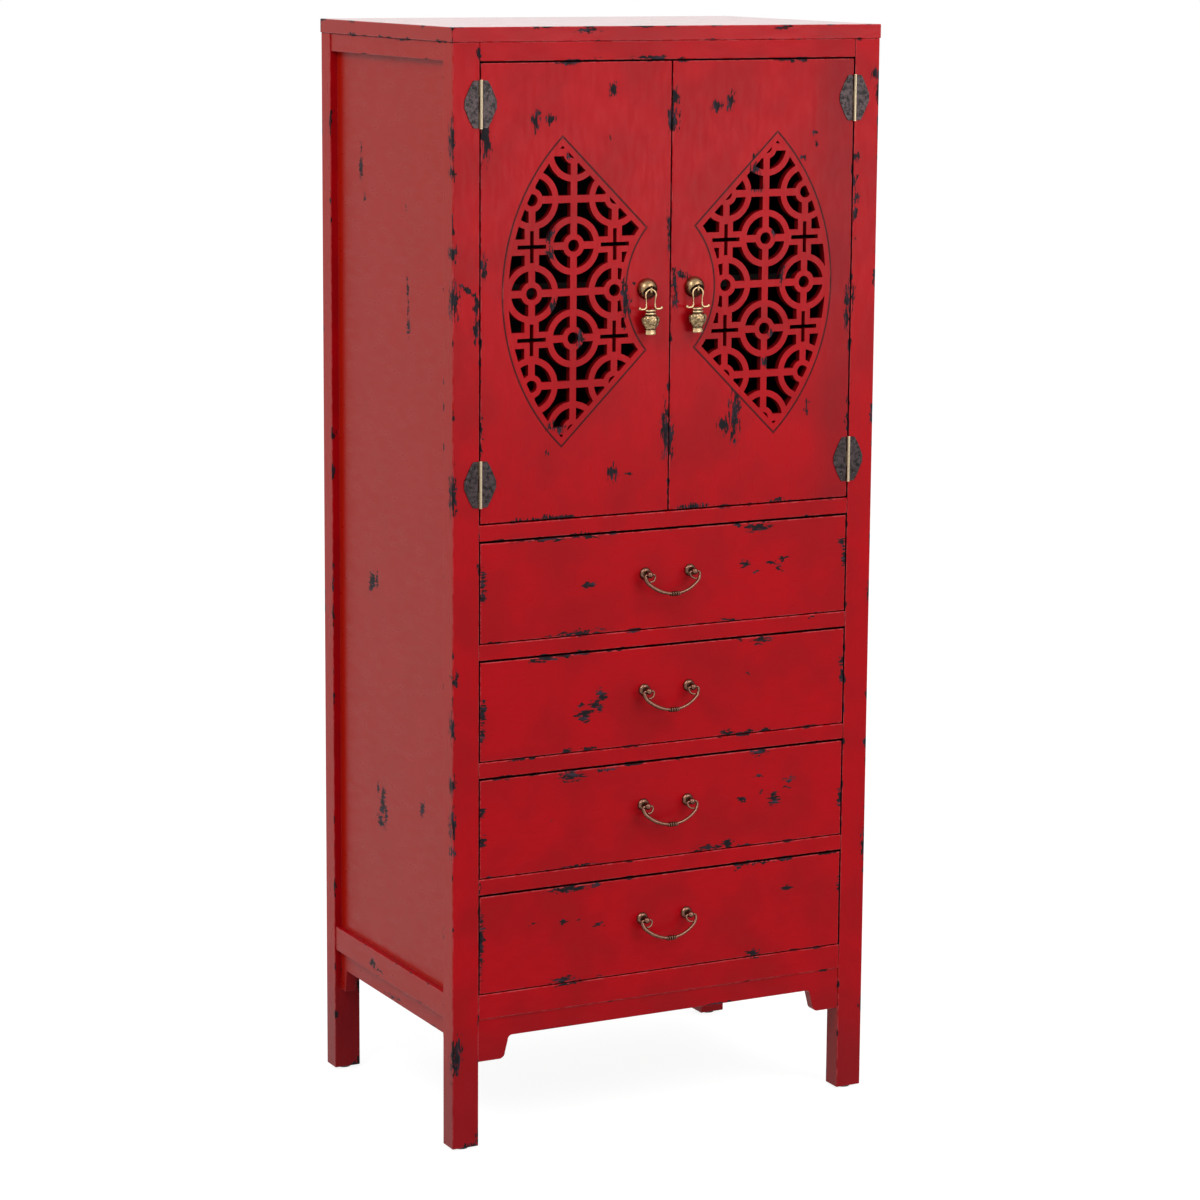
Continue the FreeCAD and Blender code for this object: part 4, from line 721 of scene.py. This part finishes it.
# The leaves' node is one mesh with its knuckles, which are told by their nearness to the axis.
leaf_bronze = aged_metal("leaf_bronze", (0.052, 0.039, 0.040), (0.016, 0.014, 0.014), 0.18, 0.30)
tree = leaf_bronze.node_tree
gloss = tree.nodes["Principled BSDF"]
sheet_colour = gloss.inputs["Base Color"].links[0].from_socket
across, _, _ = split(tree, tree.nodes["Vector Math"].outputs[0])
from_axis = reckon(tree, "ABSOLUTE", across)
from_axis = reckon(tree, "SUBTRACT", from_axis, HINGE_X)
from_axis = reckon(tree, "ABSOLUTE", from_axis)
knuckle = between(tree, from_axis, KNUCKLE_RADIUS, KNUCKLE_RADIUS + 0.3, 1.0, 0.0)
colour = blend_colour(tree, knuckle, sheet_colour, KNUCKLE_BRASS)
tree.links.new(colour, gloss.inputs["Base Color"])
nail_iron = aged_metal("nail_iron", (0.05, 0.045, 0.045), (0.02, 0.018, 0.02), 0.6, 0.35)
pin_brass = aged_metal("pin_brass", (0.68, 0.56, 0.38), (0.42, 0.33, 0.20), 0.3, 0.3)
for node in ("frame_hinge_leaves", "left_door_hinge_leaves", "right_door_hinge_leaves"):
    paint(node, leaf_bronze)
for node in ("frame_hinge_nails", "left_door_hinge_nails", "right_door_hinge_nails"):
    paint(node, nail_iron)
paint("hinge_pins", pin_brass)

# The door pulls: a cast brass half ball screwed to each door, with an arched hollow and a slim lug
# in it, and a cast vase that swings from the lug on a wire loop with two curled arms. The parts
# that face up, forwards and to the left are brighter, partly rubbed and partly a painted
# highlight, the parts that face away are painted darker as painted shade, and the hollows are
# brown.

# Each brass: its bright and its dull colour, how fine its patches are, its roughness, and the
# shares of it that are dark, pitted and rubbed, where rubbed is partly wear and partly a painted
# highlight towards the left lamp
BRASSES = {
    "pull_brass": ((0.42, 0.27, 0.14), (0.040, 0.024, 0.012), 0.36, 0.26, 1.0, 0.7, 0.75),
    "ring_brass": ((0.62, 0.43, 0.24), (0.12, 0.07, 0.035), 0.40, 0.18, 0.4, 0.4, 0.8),
    "vase_brass": ((0.46, 0.32, 0.17), (0.030, 0.022, 0.011), 0.45, 0.24, 0.72, 0.7, 0.35),
    "hollow_brass": ((0.060, 0.024, 0.014), (0.015, 0.007, 0.005), 0.50, 0.45),
}
pull_brass, ring_brass, vase_brass, hollow_brass = (
    aged_metal(name, *look) for name, look in BRASSES.items()
)

MM = 0.001
PULL_X = 33.3
PULL_Y = -198.03
PULL_Z = 1077.0
FRONT_FACE = -187.43
DOME_RADIUS = 13.3
HOLLOW_RADIUS = 10.3
HOLLOW_TOP = 4.4
HOLLOW_FLOOR = 8.0
LUG_HALF_WIDTH = 1.2
LUG_TOP = 1.9
LUG_FOOT = -3.8
LUG_REACH = 12.1
LUG_ROUND = 1.5
UNDER_LUG_RADIUS = 6.0
CUTTER_HEIGHT = 8
AXIS_OUT = 10.6
BORE_RADIUS = 1.4
OPEN_FOOT = 9
# The hollow's cuts: the side of the lug, their radius, top and floor, and how far down they run
HOLLOW_CUTS = [
    (-1, HOLLOW_RADIUS, HOLLOW_TOP, HOLLOW_FLOOR, OPEN_FOOT),
    (1, HOLLOW_RADIUS, HOLLOW_TOP, HOLLOW_FLOOR, OPEN_FOOT),
    (0, HOLLOW_RADIUS, HOLLOW_TOP, LUG_REACH, OPEN_FOOT),
    (0, UNDER_LUG_RADIUS, LUG_FOOT, HOLLOW_FLOOR, OPEN_FOOT),
    (0, LUG_ROUND, LUG_TOP + 2 * LUG_ROUND, HOLLOW_FLOOR, 0),
]


def only(piece):
    """Selects this piece alone and makes it active."""
    bpy.ops.object.select_all(action="DESELECT")
    piece.select_set(True)
    bpy.context.view_layer.objects.active = piece


def edit_all():
    """Goes into edit mode with everything selected."""
    bpy.ops.object.mode_set(mode="EDIT")
    bpy.ops.mesh.select_all(action="SELECT")


def leave_solid():
    """Turns every face outwards and leaves edit mode."""
    bpy.ops.mesh.select_all(action="SELECT")
    bpy.ops.mesh.normals_make_consistent(inside=False)
    bpy.ops.object.mode_set(mode="OBJECT")


def pick(piece, wanted):
    """Goes into edit mode with only the wanted vertices of a piece selected; the test is given a
    place in millimetres."""
    only(piece)
    bpy.ops.object.mode_set(mode="EDIT")
    bpy.ops.mesh.select_mode(type="VERT")
    bpy.ops.mesh.select_all(action="DESELECT")
    bpy.ops.object.mode_set(mode="OBJECT")
    for vertex in piece.data.vertices:
        vertex.select = wanted(vertex.co / MM)
    bpy.ops.object.mode_set(mode="EDIT")


def carve(piece, cutter):
    """Cuts one shape out of another and throws the cutter away."""
    cut = piece.modifiers.new("cut", "BOOLEAN")
    cut.object = cutter
    cut.operation = "DIFFERENCE"
    only(piece)
    bpy.ops.object.modifier_apply(modifier="cut")
    bpy.data.objects.remove(cutter)


def stand_at(piece, place, turn=(0, 0, 0)):
    """Moves a piece that was made round the origin to its place, turned, in its mesh."""
    only(piece)
    piece.rotation_euler = turn
    piece.location = Vector(place) * MM
    bpy.ops.object.transform_apply(location=True, rotation=True, scale=True)
    return piece


def copy_of(piece, name):
    """A copy with a mesh of its own."""
    twin = piece.copy()
    twin.data = piece.data.copy()
    twin.name = name
    bpy.context.scene.collection.objects.link(twin)
    return twin


bpy.ops.object.select_all(action="DESELECT")
bpy.ops.mesh.primitive_uv_sphere_add(segments=72, ring_count=36, radius=DOME_RADIUS * MM)
dome = bpy.context.object
edit_all()
bpy.ops.mesh.bisect(plane_co=(0, 0, 0), plane_no=(0, 0, 1), clear_inner=True, use_fill=True)
bpy.ops.object.mode_set(mode="OBJECT")
for hand, radius, top, floor, drop in HOLLOW_CUTS:
    bpy.ops.object.select_all(action="DESELECT")
    bpy.ops.mesh.primitive_cylinder_add(vertices=64, radius=radius * MM, depth=CUTTER_HEIGHT * MM)
    hollow = bpy.context.object
    pick(hollow, lambda place: place.y < -0.01)
    bpy.ops.transform.translate(value=(0, -drop * MM, 0))
    bpy.ops.mesh.select_all(action="SELECT")
    bpy.ops.transform.translate(value=(0, (top - radius) * MM, (floor + CUTTER_HEIGHT / 2) * MM))
    if hand:
        bpy.ops.mesh.bisect(
            plane_co=(LUG_HALF_WIDTH * hand * MM, 0, 0), plane_no=(hand, 0, 0), clear_inner=True,
            use_fill=True,
        )
    leave_solid()
    carve(dome, hollow)
bpy.ops.mesh.primitive_cylinder_add(
    vertices=32, radius=BORE_RADIUS * MM, depth=6 * MM, location=(0, 0, AXIS_OUT * MM),
    rotation=(0, math.pi / 2, 0),
)
carve(dome, bpy.context.object)
softened = dome.modifiers.new("softened", "BEVEL")
softened.width = 0.3 * MM
softened.segments = 2
softened.limit_method = "ANGLE"
softened.angle_limit = math.radians(40)
bpy.ops.object.modifier_apply(modifier="softened")
bpy.ops.object.shade_smooth_by_angle(angle=math.radians(35))
dome.data.materials.append(pull_brass)
dome.data.materials.append(hollow_brass)
for face in dome.data.polygons:
    if face.center.length < (DOME_RADIUS - 0.5) * MM and face.center.z < (LUG_REACH - 0.4) * MM:
        face.material_index = 1
for side, hand in (("left", -1), ("right", 1)):
    piece = copy_of(dome, f"{side}_cast_dome")
    stand_at(piece, (PULL_X * hand, FRONT_FACE, PULL_Z), (math.pi / 2, 0, 0))
    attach(piece, f"{side}_door")
    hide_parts(f"{side}_pull_dome")
bpy.data.objects.remove(dome)


def turn_on_lathe(name, finish, profile, segments=48):
    """A turned shape on the upright line through the origin, from its foot to its top. The profile
    is (radius, height), in millimetres."""
    bpy.ops.object.select_all(action="DESELECT")
    radius, height = profile[0]
    bpy.ops.mesh.primitive_circle_add(
        vertices=segments, radius=radius * MM, fill_type="NGON", location=(0, 0, height * MM)
    )
    shape = bpy.context.object
    shape.name = name
    edit_all()
    for (r0, z0), (r1, z1) in zip(profile, profile[1:]):
        bpy.ops.mesh.extrude_region_move(TRANSFORM_OT_translate={"value": (0, 0, (z1 - z0) * MM)})
        bpy.ops.transform.resize(value=(r1 / r0, r1 / r0, 1))
    leave_solid()
    bpy.ops.object.transform_apply(location=True, rotation=False, scale=False)
    shape.data.materials.append(finish)
    return shape


DEGREES_A_STEP = 8


def draw_wire(name, finish, radius, start, turn, moves):
    """A round wire: a disc drawn along straight runs and spun round bends. A move is a run (x, y,
    z, growth), where the growth is how many times thicker the wire gets, or a bend (degrees,
    centre, axis), in millimetres."""
    bpy.ops.object.select_all(action="DESELECT")
    bpy.ops.mesh.primitive_circle_add(
        vertices=16, radius=radius * MM, fill_type="NGON", location=Vector(start) * MM,
        rotation=turn,
    )
    wire = bpy.context.object
    wire.name = name
    edit_all()
    for move in moves:
        if isinstance(move[1], tuple):
            angle, centre, axis = move
            steps = max(4, round(abs(angle) / DEGREES_A_STEP))
            bpy.ops.mesh.spin(
                steps=steps, angle=-math.radians(angle), center=Vector(centre) * MM, axis=axis
            )
        else:
            *run, growth = move
            bpy.ops.mesh.extrude_region_move(TRANSFORM_OT_translate={"value": Vector(run) * MM})
            bpy.ops.transform.resize(value=(growth,) * 3)
    bpy.ops.mesh.select_all(action="SELECT")
    bpy.ops.mesh.remove_doubles(threshold=0.000001)
    leave_solid()
    wire.data.materials.append(finish)
    return wire


def make_one(name, shapes, levels=1):
    """Joins shapes into one smooth piece with its place in its mesh."""
    bpy.ops.object.select_all(action="DESELECT")
    for shape in shapes:
        shape.select_set(True)
    bpy.context.view_layer.objects.active = shapes[0]
    if len(shapes) > 1:
        bpy.ops.object.join()
    piece = bpy.context.object
    piece.name = name
    if levels:
        rounding = piece.modifiers.new("rounding", "SUBSURF")
        rounding.levels = rounding.render_levels = levels
        bpy.ops.object.modifier_apply(modifier="rounding")
    bpy.ops.object.transform_apply(location=True, rotation=True, scale=True)
    bpy.ops.object.shade_smooth_by_angle(angle=math.radians(50))
    return piece


# The vase, from its foot to the collar: (radius, height), in millimetres
VASE = [
    (7.2, -56.0), (7.7, -55.6), (7.8, -54.4), (7.6, -53.4), (7.2, -52.7), (7.2, -51.6),
    (7.5, -50.9), (7.2, -50.0), (6.8, -49.5), (7.4, -48.8), (8.8, -46.9), (10.0, -44.9),
    (11.0, -42.7), (11.8, -40.4), (12.2, -38.4), (12.2, -36.6), (11.7, -35.0), (10.7, -33.7),
    (9.2, -32.6), (7.1, -31.9), (5.9, -31.4), (6.2, -31.0), (7.8, -30.8), (8.2, -30.3),
    (8.2, -29.4), (7.8, -28.9), (5.4, -28.7), (5.2, -27.9), (5.4, -27.2), (7.5, -27.0),
    (7.9, -26.5), (7.9, -25.5), (7.5, -25.0), (6.2, -24.7), (3.0, -24.4),
]
BELLY_LOW, BELLY_HIGH = -46.0, -33.0
LOBE_STEPS = 6
# Which of a lobe's steps round the belly are drawn in or let out, and by how much
LOBES = (((0, 1, 5), 0.95), ((0,), 0.93), ((3,), 1.02))
VASE_DEPTH_SHARE = 0.6
NECK_RADIUS = 6.9

vase = turn_on_lathe("vase", vase_brass, VASE)
vase.data.materials.append(ring_brass)
vase.data.materials.append(hollow_brass)


def step_round(place, steps):
    """On which of so many even steps round the upright line a place lies."""
    return round(math.degrees(math.atan2(place.y, place.x)) / (360 / steps))


for turns, size in LOBES:
    pick(
        vase,
        lambda place: BELLY_LOW < place.z < BELLY_HIGH
        and step_round(place, 48) % LOBE_STEPS in turns,
    )
    bpy.ops.transform.resize(value=(size, size, 1), center_override=(0, 0, -40 * MM))
    bpy.ops.object.mode_set(mode="OBJECT")
for face in vase.data.polygons:
    out = math.hypot(face.center.x, face.center.y) / MM
    height = face.center.z / MM
    if out > NECK_RADIUS and not -50.6 < height < -30.9:
        face.material_index = 1
    elif out < NECK_RADIUS and -32.0 < height < -26.9 or -49.9 < height < -49.0:
        face.material_index = 2
edit_all()
bpy.ops.transform.resize(value=(1, VASE_DEPTH_SHARE, 1), center_override=(0, 0, 0))
bpy.ops.object.mode_set(mode="OBJECT")

ARCH = 7.4
ARCH_THINNINGS = (-5.0, -3.2, -2.0)
THINNING = 0.2
ARM_X = 6.2
BALL_PLACE = (15.3, -23.2)
TIP = [(0.6, -1.9), (1.5, -1.35), (2.05, 0), (1.5, 1.35), (0.6, 1.9)]
# The runs of the loop's leg, from its foot up: (outwards, up, how many times thicker)
LEG = [(0.3, 4.4, 0.84), (0.0, 5.0, 0.95), (-0.2, 3.4, 1.2), (-0.6, 2.4, 1.12), (-0.5, 2.4, 1.05)]
upwards = [(out, 0, rise, growth) for out, rise, growth in LEG]
downwards = [(out, 0, -rise, 1 / growth) for out, rise, growth in reversed(LEG)]
leg_rise = sum(rise for _, rise, _ in LEG)
leg_reach = sum(out for out, _, _ in LEG)
loop = draw_wire(
    "loop", ring_brass, 1.6, (-ARCH - leg_reach, 0, -ARCH - leg_rise), (0, 0, 0),
    upwards + [(180, (0, 0, -ARCH), (0, 1, 0))] + downwards,
)
for height in ARCH_THINNINGS:
    pick(loop, lambda place: place.z > height)
    bpy.ops.transform.shrink_fatten(value=-THINNING * MM)
    bpy.ops.object.mode_set(mode="OBJECT")
wires = [loop]
for hand in (-1, 1):
    arm = draw_wire(
        "arm", ring_brass, 0.8, (ARM_X * hand, 0, -17.8), (math.pi, 0, 0),
        [
            (-0.1 * hand, 0, -2.7, 1.6),
            (-90 * hand, (10.0 * hand, 0, -20.5), (0, 1, 0)),
            (2.4 * hand, 0, 0, 1.1),
            (-40 * hand, (12.4 * hand, 0, -20.4), (0, 1, 0)),
        ],
    )
    tip = turn_on_lathe("tip", ring_brass, TIP, 16)
    wires += [arm, stand_at(tip, (BALL_PLACE[0] * hand, 0, BALL_PLACE[1]))]
pendant = make_one("left_pendant", [vase, make_one("wires", wires)], 0)
right_pendant = copy_of(pendant, "right_pendant")
for side, hand, piece in (("left", -1, pendant), ("right", 1, right_pendant)):
    stand_at(piece, (PULL_X * hand, PULL_Y, PULL_Z))
    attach(piece, f"{side}_pull")
    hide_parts(f"{side}_pull_pendant")

# The drawer handles: a bow of round brass rod that swings in two turned posts. The metal is darker
# than the door pulls; the bow is rubbed to copper, and where the metal faces up, forwards and to
# the left it is brighter, partly rubbed and partly a painted highlight, with painted shade where
# it faces away.

handle_brass = aged_metal(
    "handle_brass", (0.20, 0.095, 0.065), (0.012, 0.006, 0.004), 0.32, 0.20, 0.6, 0.5, 0.9
)

POST_X = 32.0
HANDLE_Y = -200.43
HANDLE_LEVELS = {"drawer_1": 718.4, "drawer_2": 569.4, "drawer_3": 420.4, "drawer_4": 271.4}
BOW_RADIUS = 1.85
HOOK_RADIUS = 1.3
SHOULDER_X = 39.0
HOOK_BEND = 2.1
CORNER = 14.0
BOTTOM_RADIUS = 50.516
CORNER_TURN = 46.79
BOW_DROP = 26.0
# Within which reach of its middle the bow swells, and by how much
SWELLS = ((35, 0.24), (28, 0.24), (20, 0.22))
TILT = math.radians(17.3)
CAP = [(0.9, -1.5), (1.85, -0.9), (1.9, 0), (1.7, 1.0), (1.0, 1.7)]
SLEEVE = [
    (2.3, -7.2), (2.9, -6.7), (2.9, -5.8), (2.2, -5.3), (2.2, -4.3), (3.2, -4.0), (3.4, -3.3),
    (3.2, -2.6), (2.1, -2.3), (2.1, -1.0), (3.2, -0.8), (3.4, 0.0), (3.2, 0.8), (2.1, 1.0),
    (2.1, 2.3), (3.2, 2.6), (3.4, 3.3), (3.2, 4.0), (2.2, 4.3), (2.2, 5.3), (2.9, 5.8),
    (2.9, 6.7), (2.3, 7.2),
]
GROOVE_RADIUS = 2.8

bow = draw_wire(
    "bow", handle_brass, BOW_RADIUS, (-SHOULDER_X, 0, -HOOK_BEND), (math.pi, 0, 0),
    [
        (-CORNER_TURN, (-SHOULDER_X + CORNER, 0, -HOOK_BEND), (0, 1, 0)),
        (-(180 - 2 * CORNER_TURN), (0, 0, BOTTOM_RADIUS - BOW_DROP), (0, 1, 0)),
        (-CORNER_TURN, (SHOULDER_X - CORNER, 0, -HOOK_BEND), (0, 1, 0)),
    ],
)
for reach, swell in SWELLS:
    pick(bow, lambda place: abs(place.x) < reach)
    bpy.ops.transform.shrink_fatten(value=swell * MM)
    bpy.ops.object.mode_set(mode="OBJECT")
handle_shapes = [bow]
for hand in (-1, 1):
    hook = draw_wire(
        "hook", handle_brass, HOOK_RADIUS, (SHOULDER_X * hand, 0, -HOOK_BEND - 0.6), (0, 0, 0),
        [
            (0, 0, 0.6, 1),
            (-90 * hand, ((SHOULDER_X - HOOK_BEND) * hand, 0, -HOOK_BEND), (0, 1, 0)),
            (2 * (POST_X - SHOULDER_X + HOOK_BEND) * hand, 0, 0, 1),
            (-90 * hand, ((2 * POST_X - SHOULDER_X + HOOK_BEND) * hand, 0, -HOOK_BEND), (0, 1, 0)),
            (-105 * hand, (POST_X * hand, 0, -HOOK_BEND), (0, 1, 0)),
        ],
    )
    cap = turn_on_lathe("cap", handle_brass, CAP, 16)
    handle_shapes += [hook, stand_at(cap, (SHOULDER_X * hand, 0, -HOOK_BEND))]
sleeve = turn_on_lathe("sleeve", handle_brass, SLEEVE, 24)
sleeve.data.materials.append(hollow_brass)
for face in sleeve.data.polygons:
    out = math.hypot(face.center.x, face.center.y)
    if out < GROOVE_RADIUS * MM and abs(face.center.z) < 5.5 * MM:
        face.material_index = 1
handle_shapes.append(stand_at(sleeve, (0, 0, -BOW_DROP), (0, math.pi / 2, 0)))
first_handle = make_one("first_handle", handle_shapes)

# A post, from the drawer's face out: (radius, height), in millimetres
POST = [
    (7.7, 0.0), (8.0, 0.3), (8.0, 1.2), (7.7, 2.0), (7.0, 3.0), (6.0, 3.9), (4.8, 4.6), (3.7, 5.0),
    (3.0, 5.6), (2.8, 6.8), (2.8, 8.6), (3.2, 9.4), (3.9, 10.6), (4.25, 11.8), (4.3, 13.0),
    (4.2, 14.2), (3.7, 15.4), (2.8, 16.4), (1.6, 17.05), (0.5, 17.3),
]
FLANGE_TOP = 3.5
NECK = (4.6, 9.4)
POST_AXIS = 13.0
FLANGE_LOBE = 0.93

turned_post = turn_on_lathe("turned_post", handle_brass, POST, 32)
turned_post.data.materials.append(hollow_brass)
pick(turned_post, lambda place: place.z < FLANGE_TOP and step_round(place, 32) % 4 == 0)
bpy.ops.transform.resize(value=(FLANGE_LOBE, FLANGE_LOBE, 1), center_override=(0, 0, MM))
bpy.ops.object.mode_set(mode="OBJECT")
for face in turned_post.data.polygons:
    if NECK[0] * MM < face.center.z < NECK[1] * MM:
        face.material_index = 1
turned_post = make_one("turned_post", [turned_post])
bpy.ops.mesh.primitive_cylinder_add(
    vertices=32, radius=BORE_RADIUS * MM, depth=14 * MM, location=(0, 0, POST_AXIS * MM),
    rotation=(0, math.pi / 2, 0),
)
carve(turned_post, bpy.context.object)
bpy.ops.object.shade_smooth_by_angle(angle=math.radians(50))

for drawer, level in HANDLE_LEVELS.items():
    posts = []
    for hand in (-1, 1):
        one = copy_of(turned_post, "post_copy")
        posts.append(stand_at(one, (POST_X * hand, FRONT_FACE, level), (math.pi / 2, 0, 0)))
    pair = make_one(f"{drawer}_turned_posts", posts, 0)
    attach(pair, drawer)
    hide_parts(f"{drawer}_handle_posts")
    handle = copy_of(first_handle, f"{drawer}_swing_handle")
    stand_at(handle, (0, HANDLE_Y, level), (-TILT, 0, 0))
    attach(handle, drawer.replace("drawer", "handle"))
    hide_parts(f"{drawer}_handle")
bpy.data.objects.remove(first_handle)
bpy.data.objects.remove(turned_post)

# The studio: a wide pale floor, a white surround, a wide soft lamp high in front, a low one on the
# right and one on the left. The camera stands in front on the left, a little above the top board.

WHITE = (1.0, 1.0, 1.0, 1.0)
FLOOR_GREY = (0.30, 0.30, 0.30, 1.0)
FLOOR_GLOW = 0.88
ROOM_LIGHT = 0.60
# Each soft lamp: its place, what it shines at, its width, its height and its watts
LAMPS = {
    "right_soft_box": ((1.1, -2.3, 1.05), (0.0, -0.1, 1.05), 1.4, 0.65, 10.5),
    "high_soft_box": ((1.0, -2.6, 3.1), (0.0, -0.1, 0.9), 2.4, 1.6, 40),
    "left_soft_box": ((-2.1, -1.15, 2.9), (-0.2, -0.1, 1.0), 0.9, 1.1, 23),
}
CAMERA_PLACE = (-2.1536, -4.1344, 1.5237)
CAMERA_TURN = -0.4805
CAMERA_DIP = 0.1687
CAMERA_ROLL = 0.007
CAMERA_LENS = 108.698
CAMERA_SHIFT = -0.05


def seen(tree):
    """One where the camera or a gloss sees a thing, and zero where it only lights the pieces."""
    ray = tree.nodes.new("ShaderNodeLightPath").outputs
    direct = reckon(tree, "MAXIMUM", ray["Is Camera Ray"], ray["Is Glossy Ray"])
    return reckon(tree, "MAXIMUM", direct, ray["Is Transmission Ray"])


bpy.ops.mesh.primitive_plane_add(size=60)
floor = bpy.context.object
floor.name = "studio_floor"
finish = bpy.data.materials.new("studio_floor_paint")
finish.use_nodes = True
tree = finish.node_tree
gloss = tree.nodes["Principled BSDF"]
gloss.inputs["Base Color"].default_value = FLOOR_GREY
gloss.inputs["Roughness"].default_value = 0.9
gloss.inputs["Specular IOR Level"].default_value = 0.0
glow = reckon(tree, "MULTIPLY", seen(tree), FLOOR_GLOW)
gloss.inputs["Emission Color"].default_value = WHITE
tree.links.new(glow, gloss.inputs["Emission Strength"])
floor.data.materials.append(finish)

world = bpy.data.worlds.new("studio_surround")
bpy.context.scene.world = world
world.use_nodes = True
tree = world.node_tree
surround = tree.nodes["Background"]
surround.inputs["Color"].default_value = WHITE
strength = add_step(tree, "MapRange", seen(tree), 0.0, 1.0, ROOM_LIGHT, 1.0)
tree.links.new(strength, surround.inputs["Strength"])


def soft_lamp(name, place, aim, width, height, watts):
    """A soft box that shines at a point and isn't seen by the camera."""
    bpy.ops.object.light_add(type="AREA", location=place)
    lamp = bpy.context.object
    lamp.name = name
    lamp.data.shape = "RECTANGLE"
    lamp.data.size = width
    lamp.data.size_y = height
    lamp.data.energy = watts
    lamp.rotation_mode = "QUATERNION"
    lamp.rotation_quaternion = (Vector(aim) - Vector(place)).to_track_quat("-Z", "Y")
    lamp.visible_camera = False


for lamp_name, lamp_setting in LAMPS.items():
    soft_lamp(lamp_name, *lamp_setting)

camera_data = bpy.data.cameras.new("photo_camera")
camera = bpy.data.objects.new("photo_camera", camera_data)
bpy.context.scene.collection.objects.link(camera)
camera.matrix_world = (
    Matrix.Translation(CAMERA_PLACE)
    @ Matrix.Rotation(CAMERA_TURN, 4, "Z")
    @ Matrix.Rotation(math.pi / 2 - CAMERA_DIP, 4, "X")
    @ Matrix.Rotation(CAMERA_ROLL, 4, "Z")
)
camera_data.sensor_width = 36
camera_data.lens = CAMERA_LENS
camera_data.shift_y = CAMERA_SHIFT
bpy.context.scene.camera = camera
bpy.context.scene.view_settings.view_transform = "Standard"
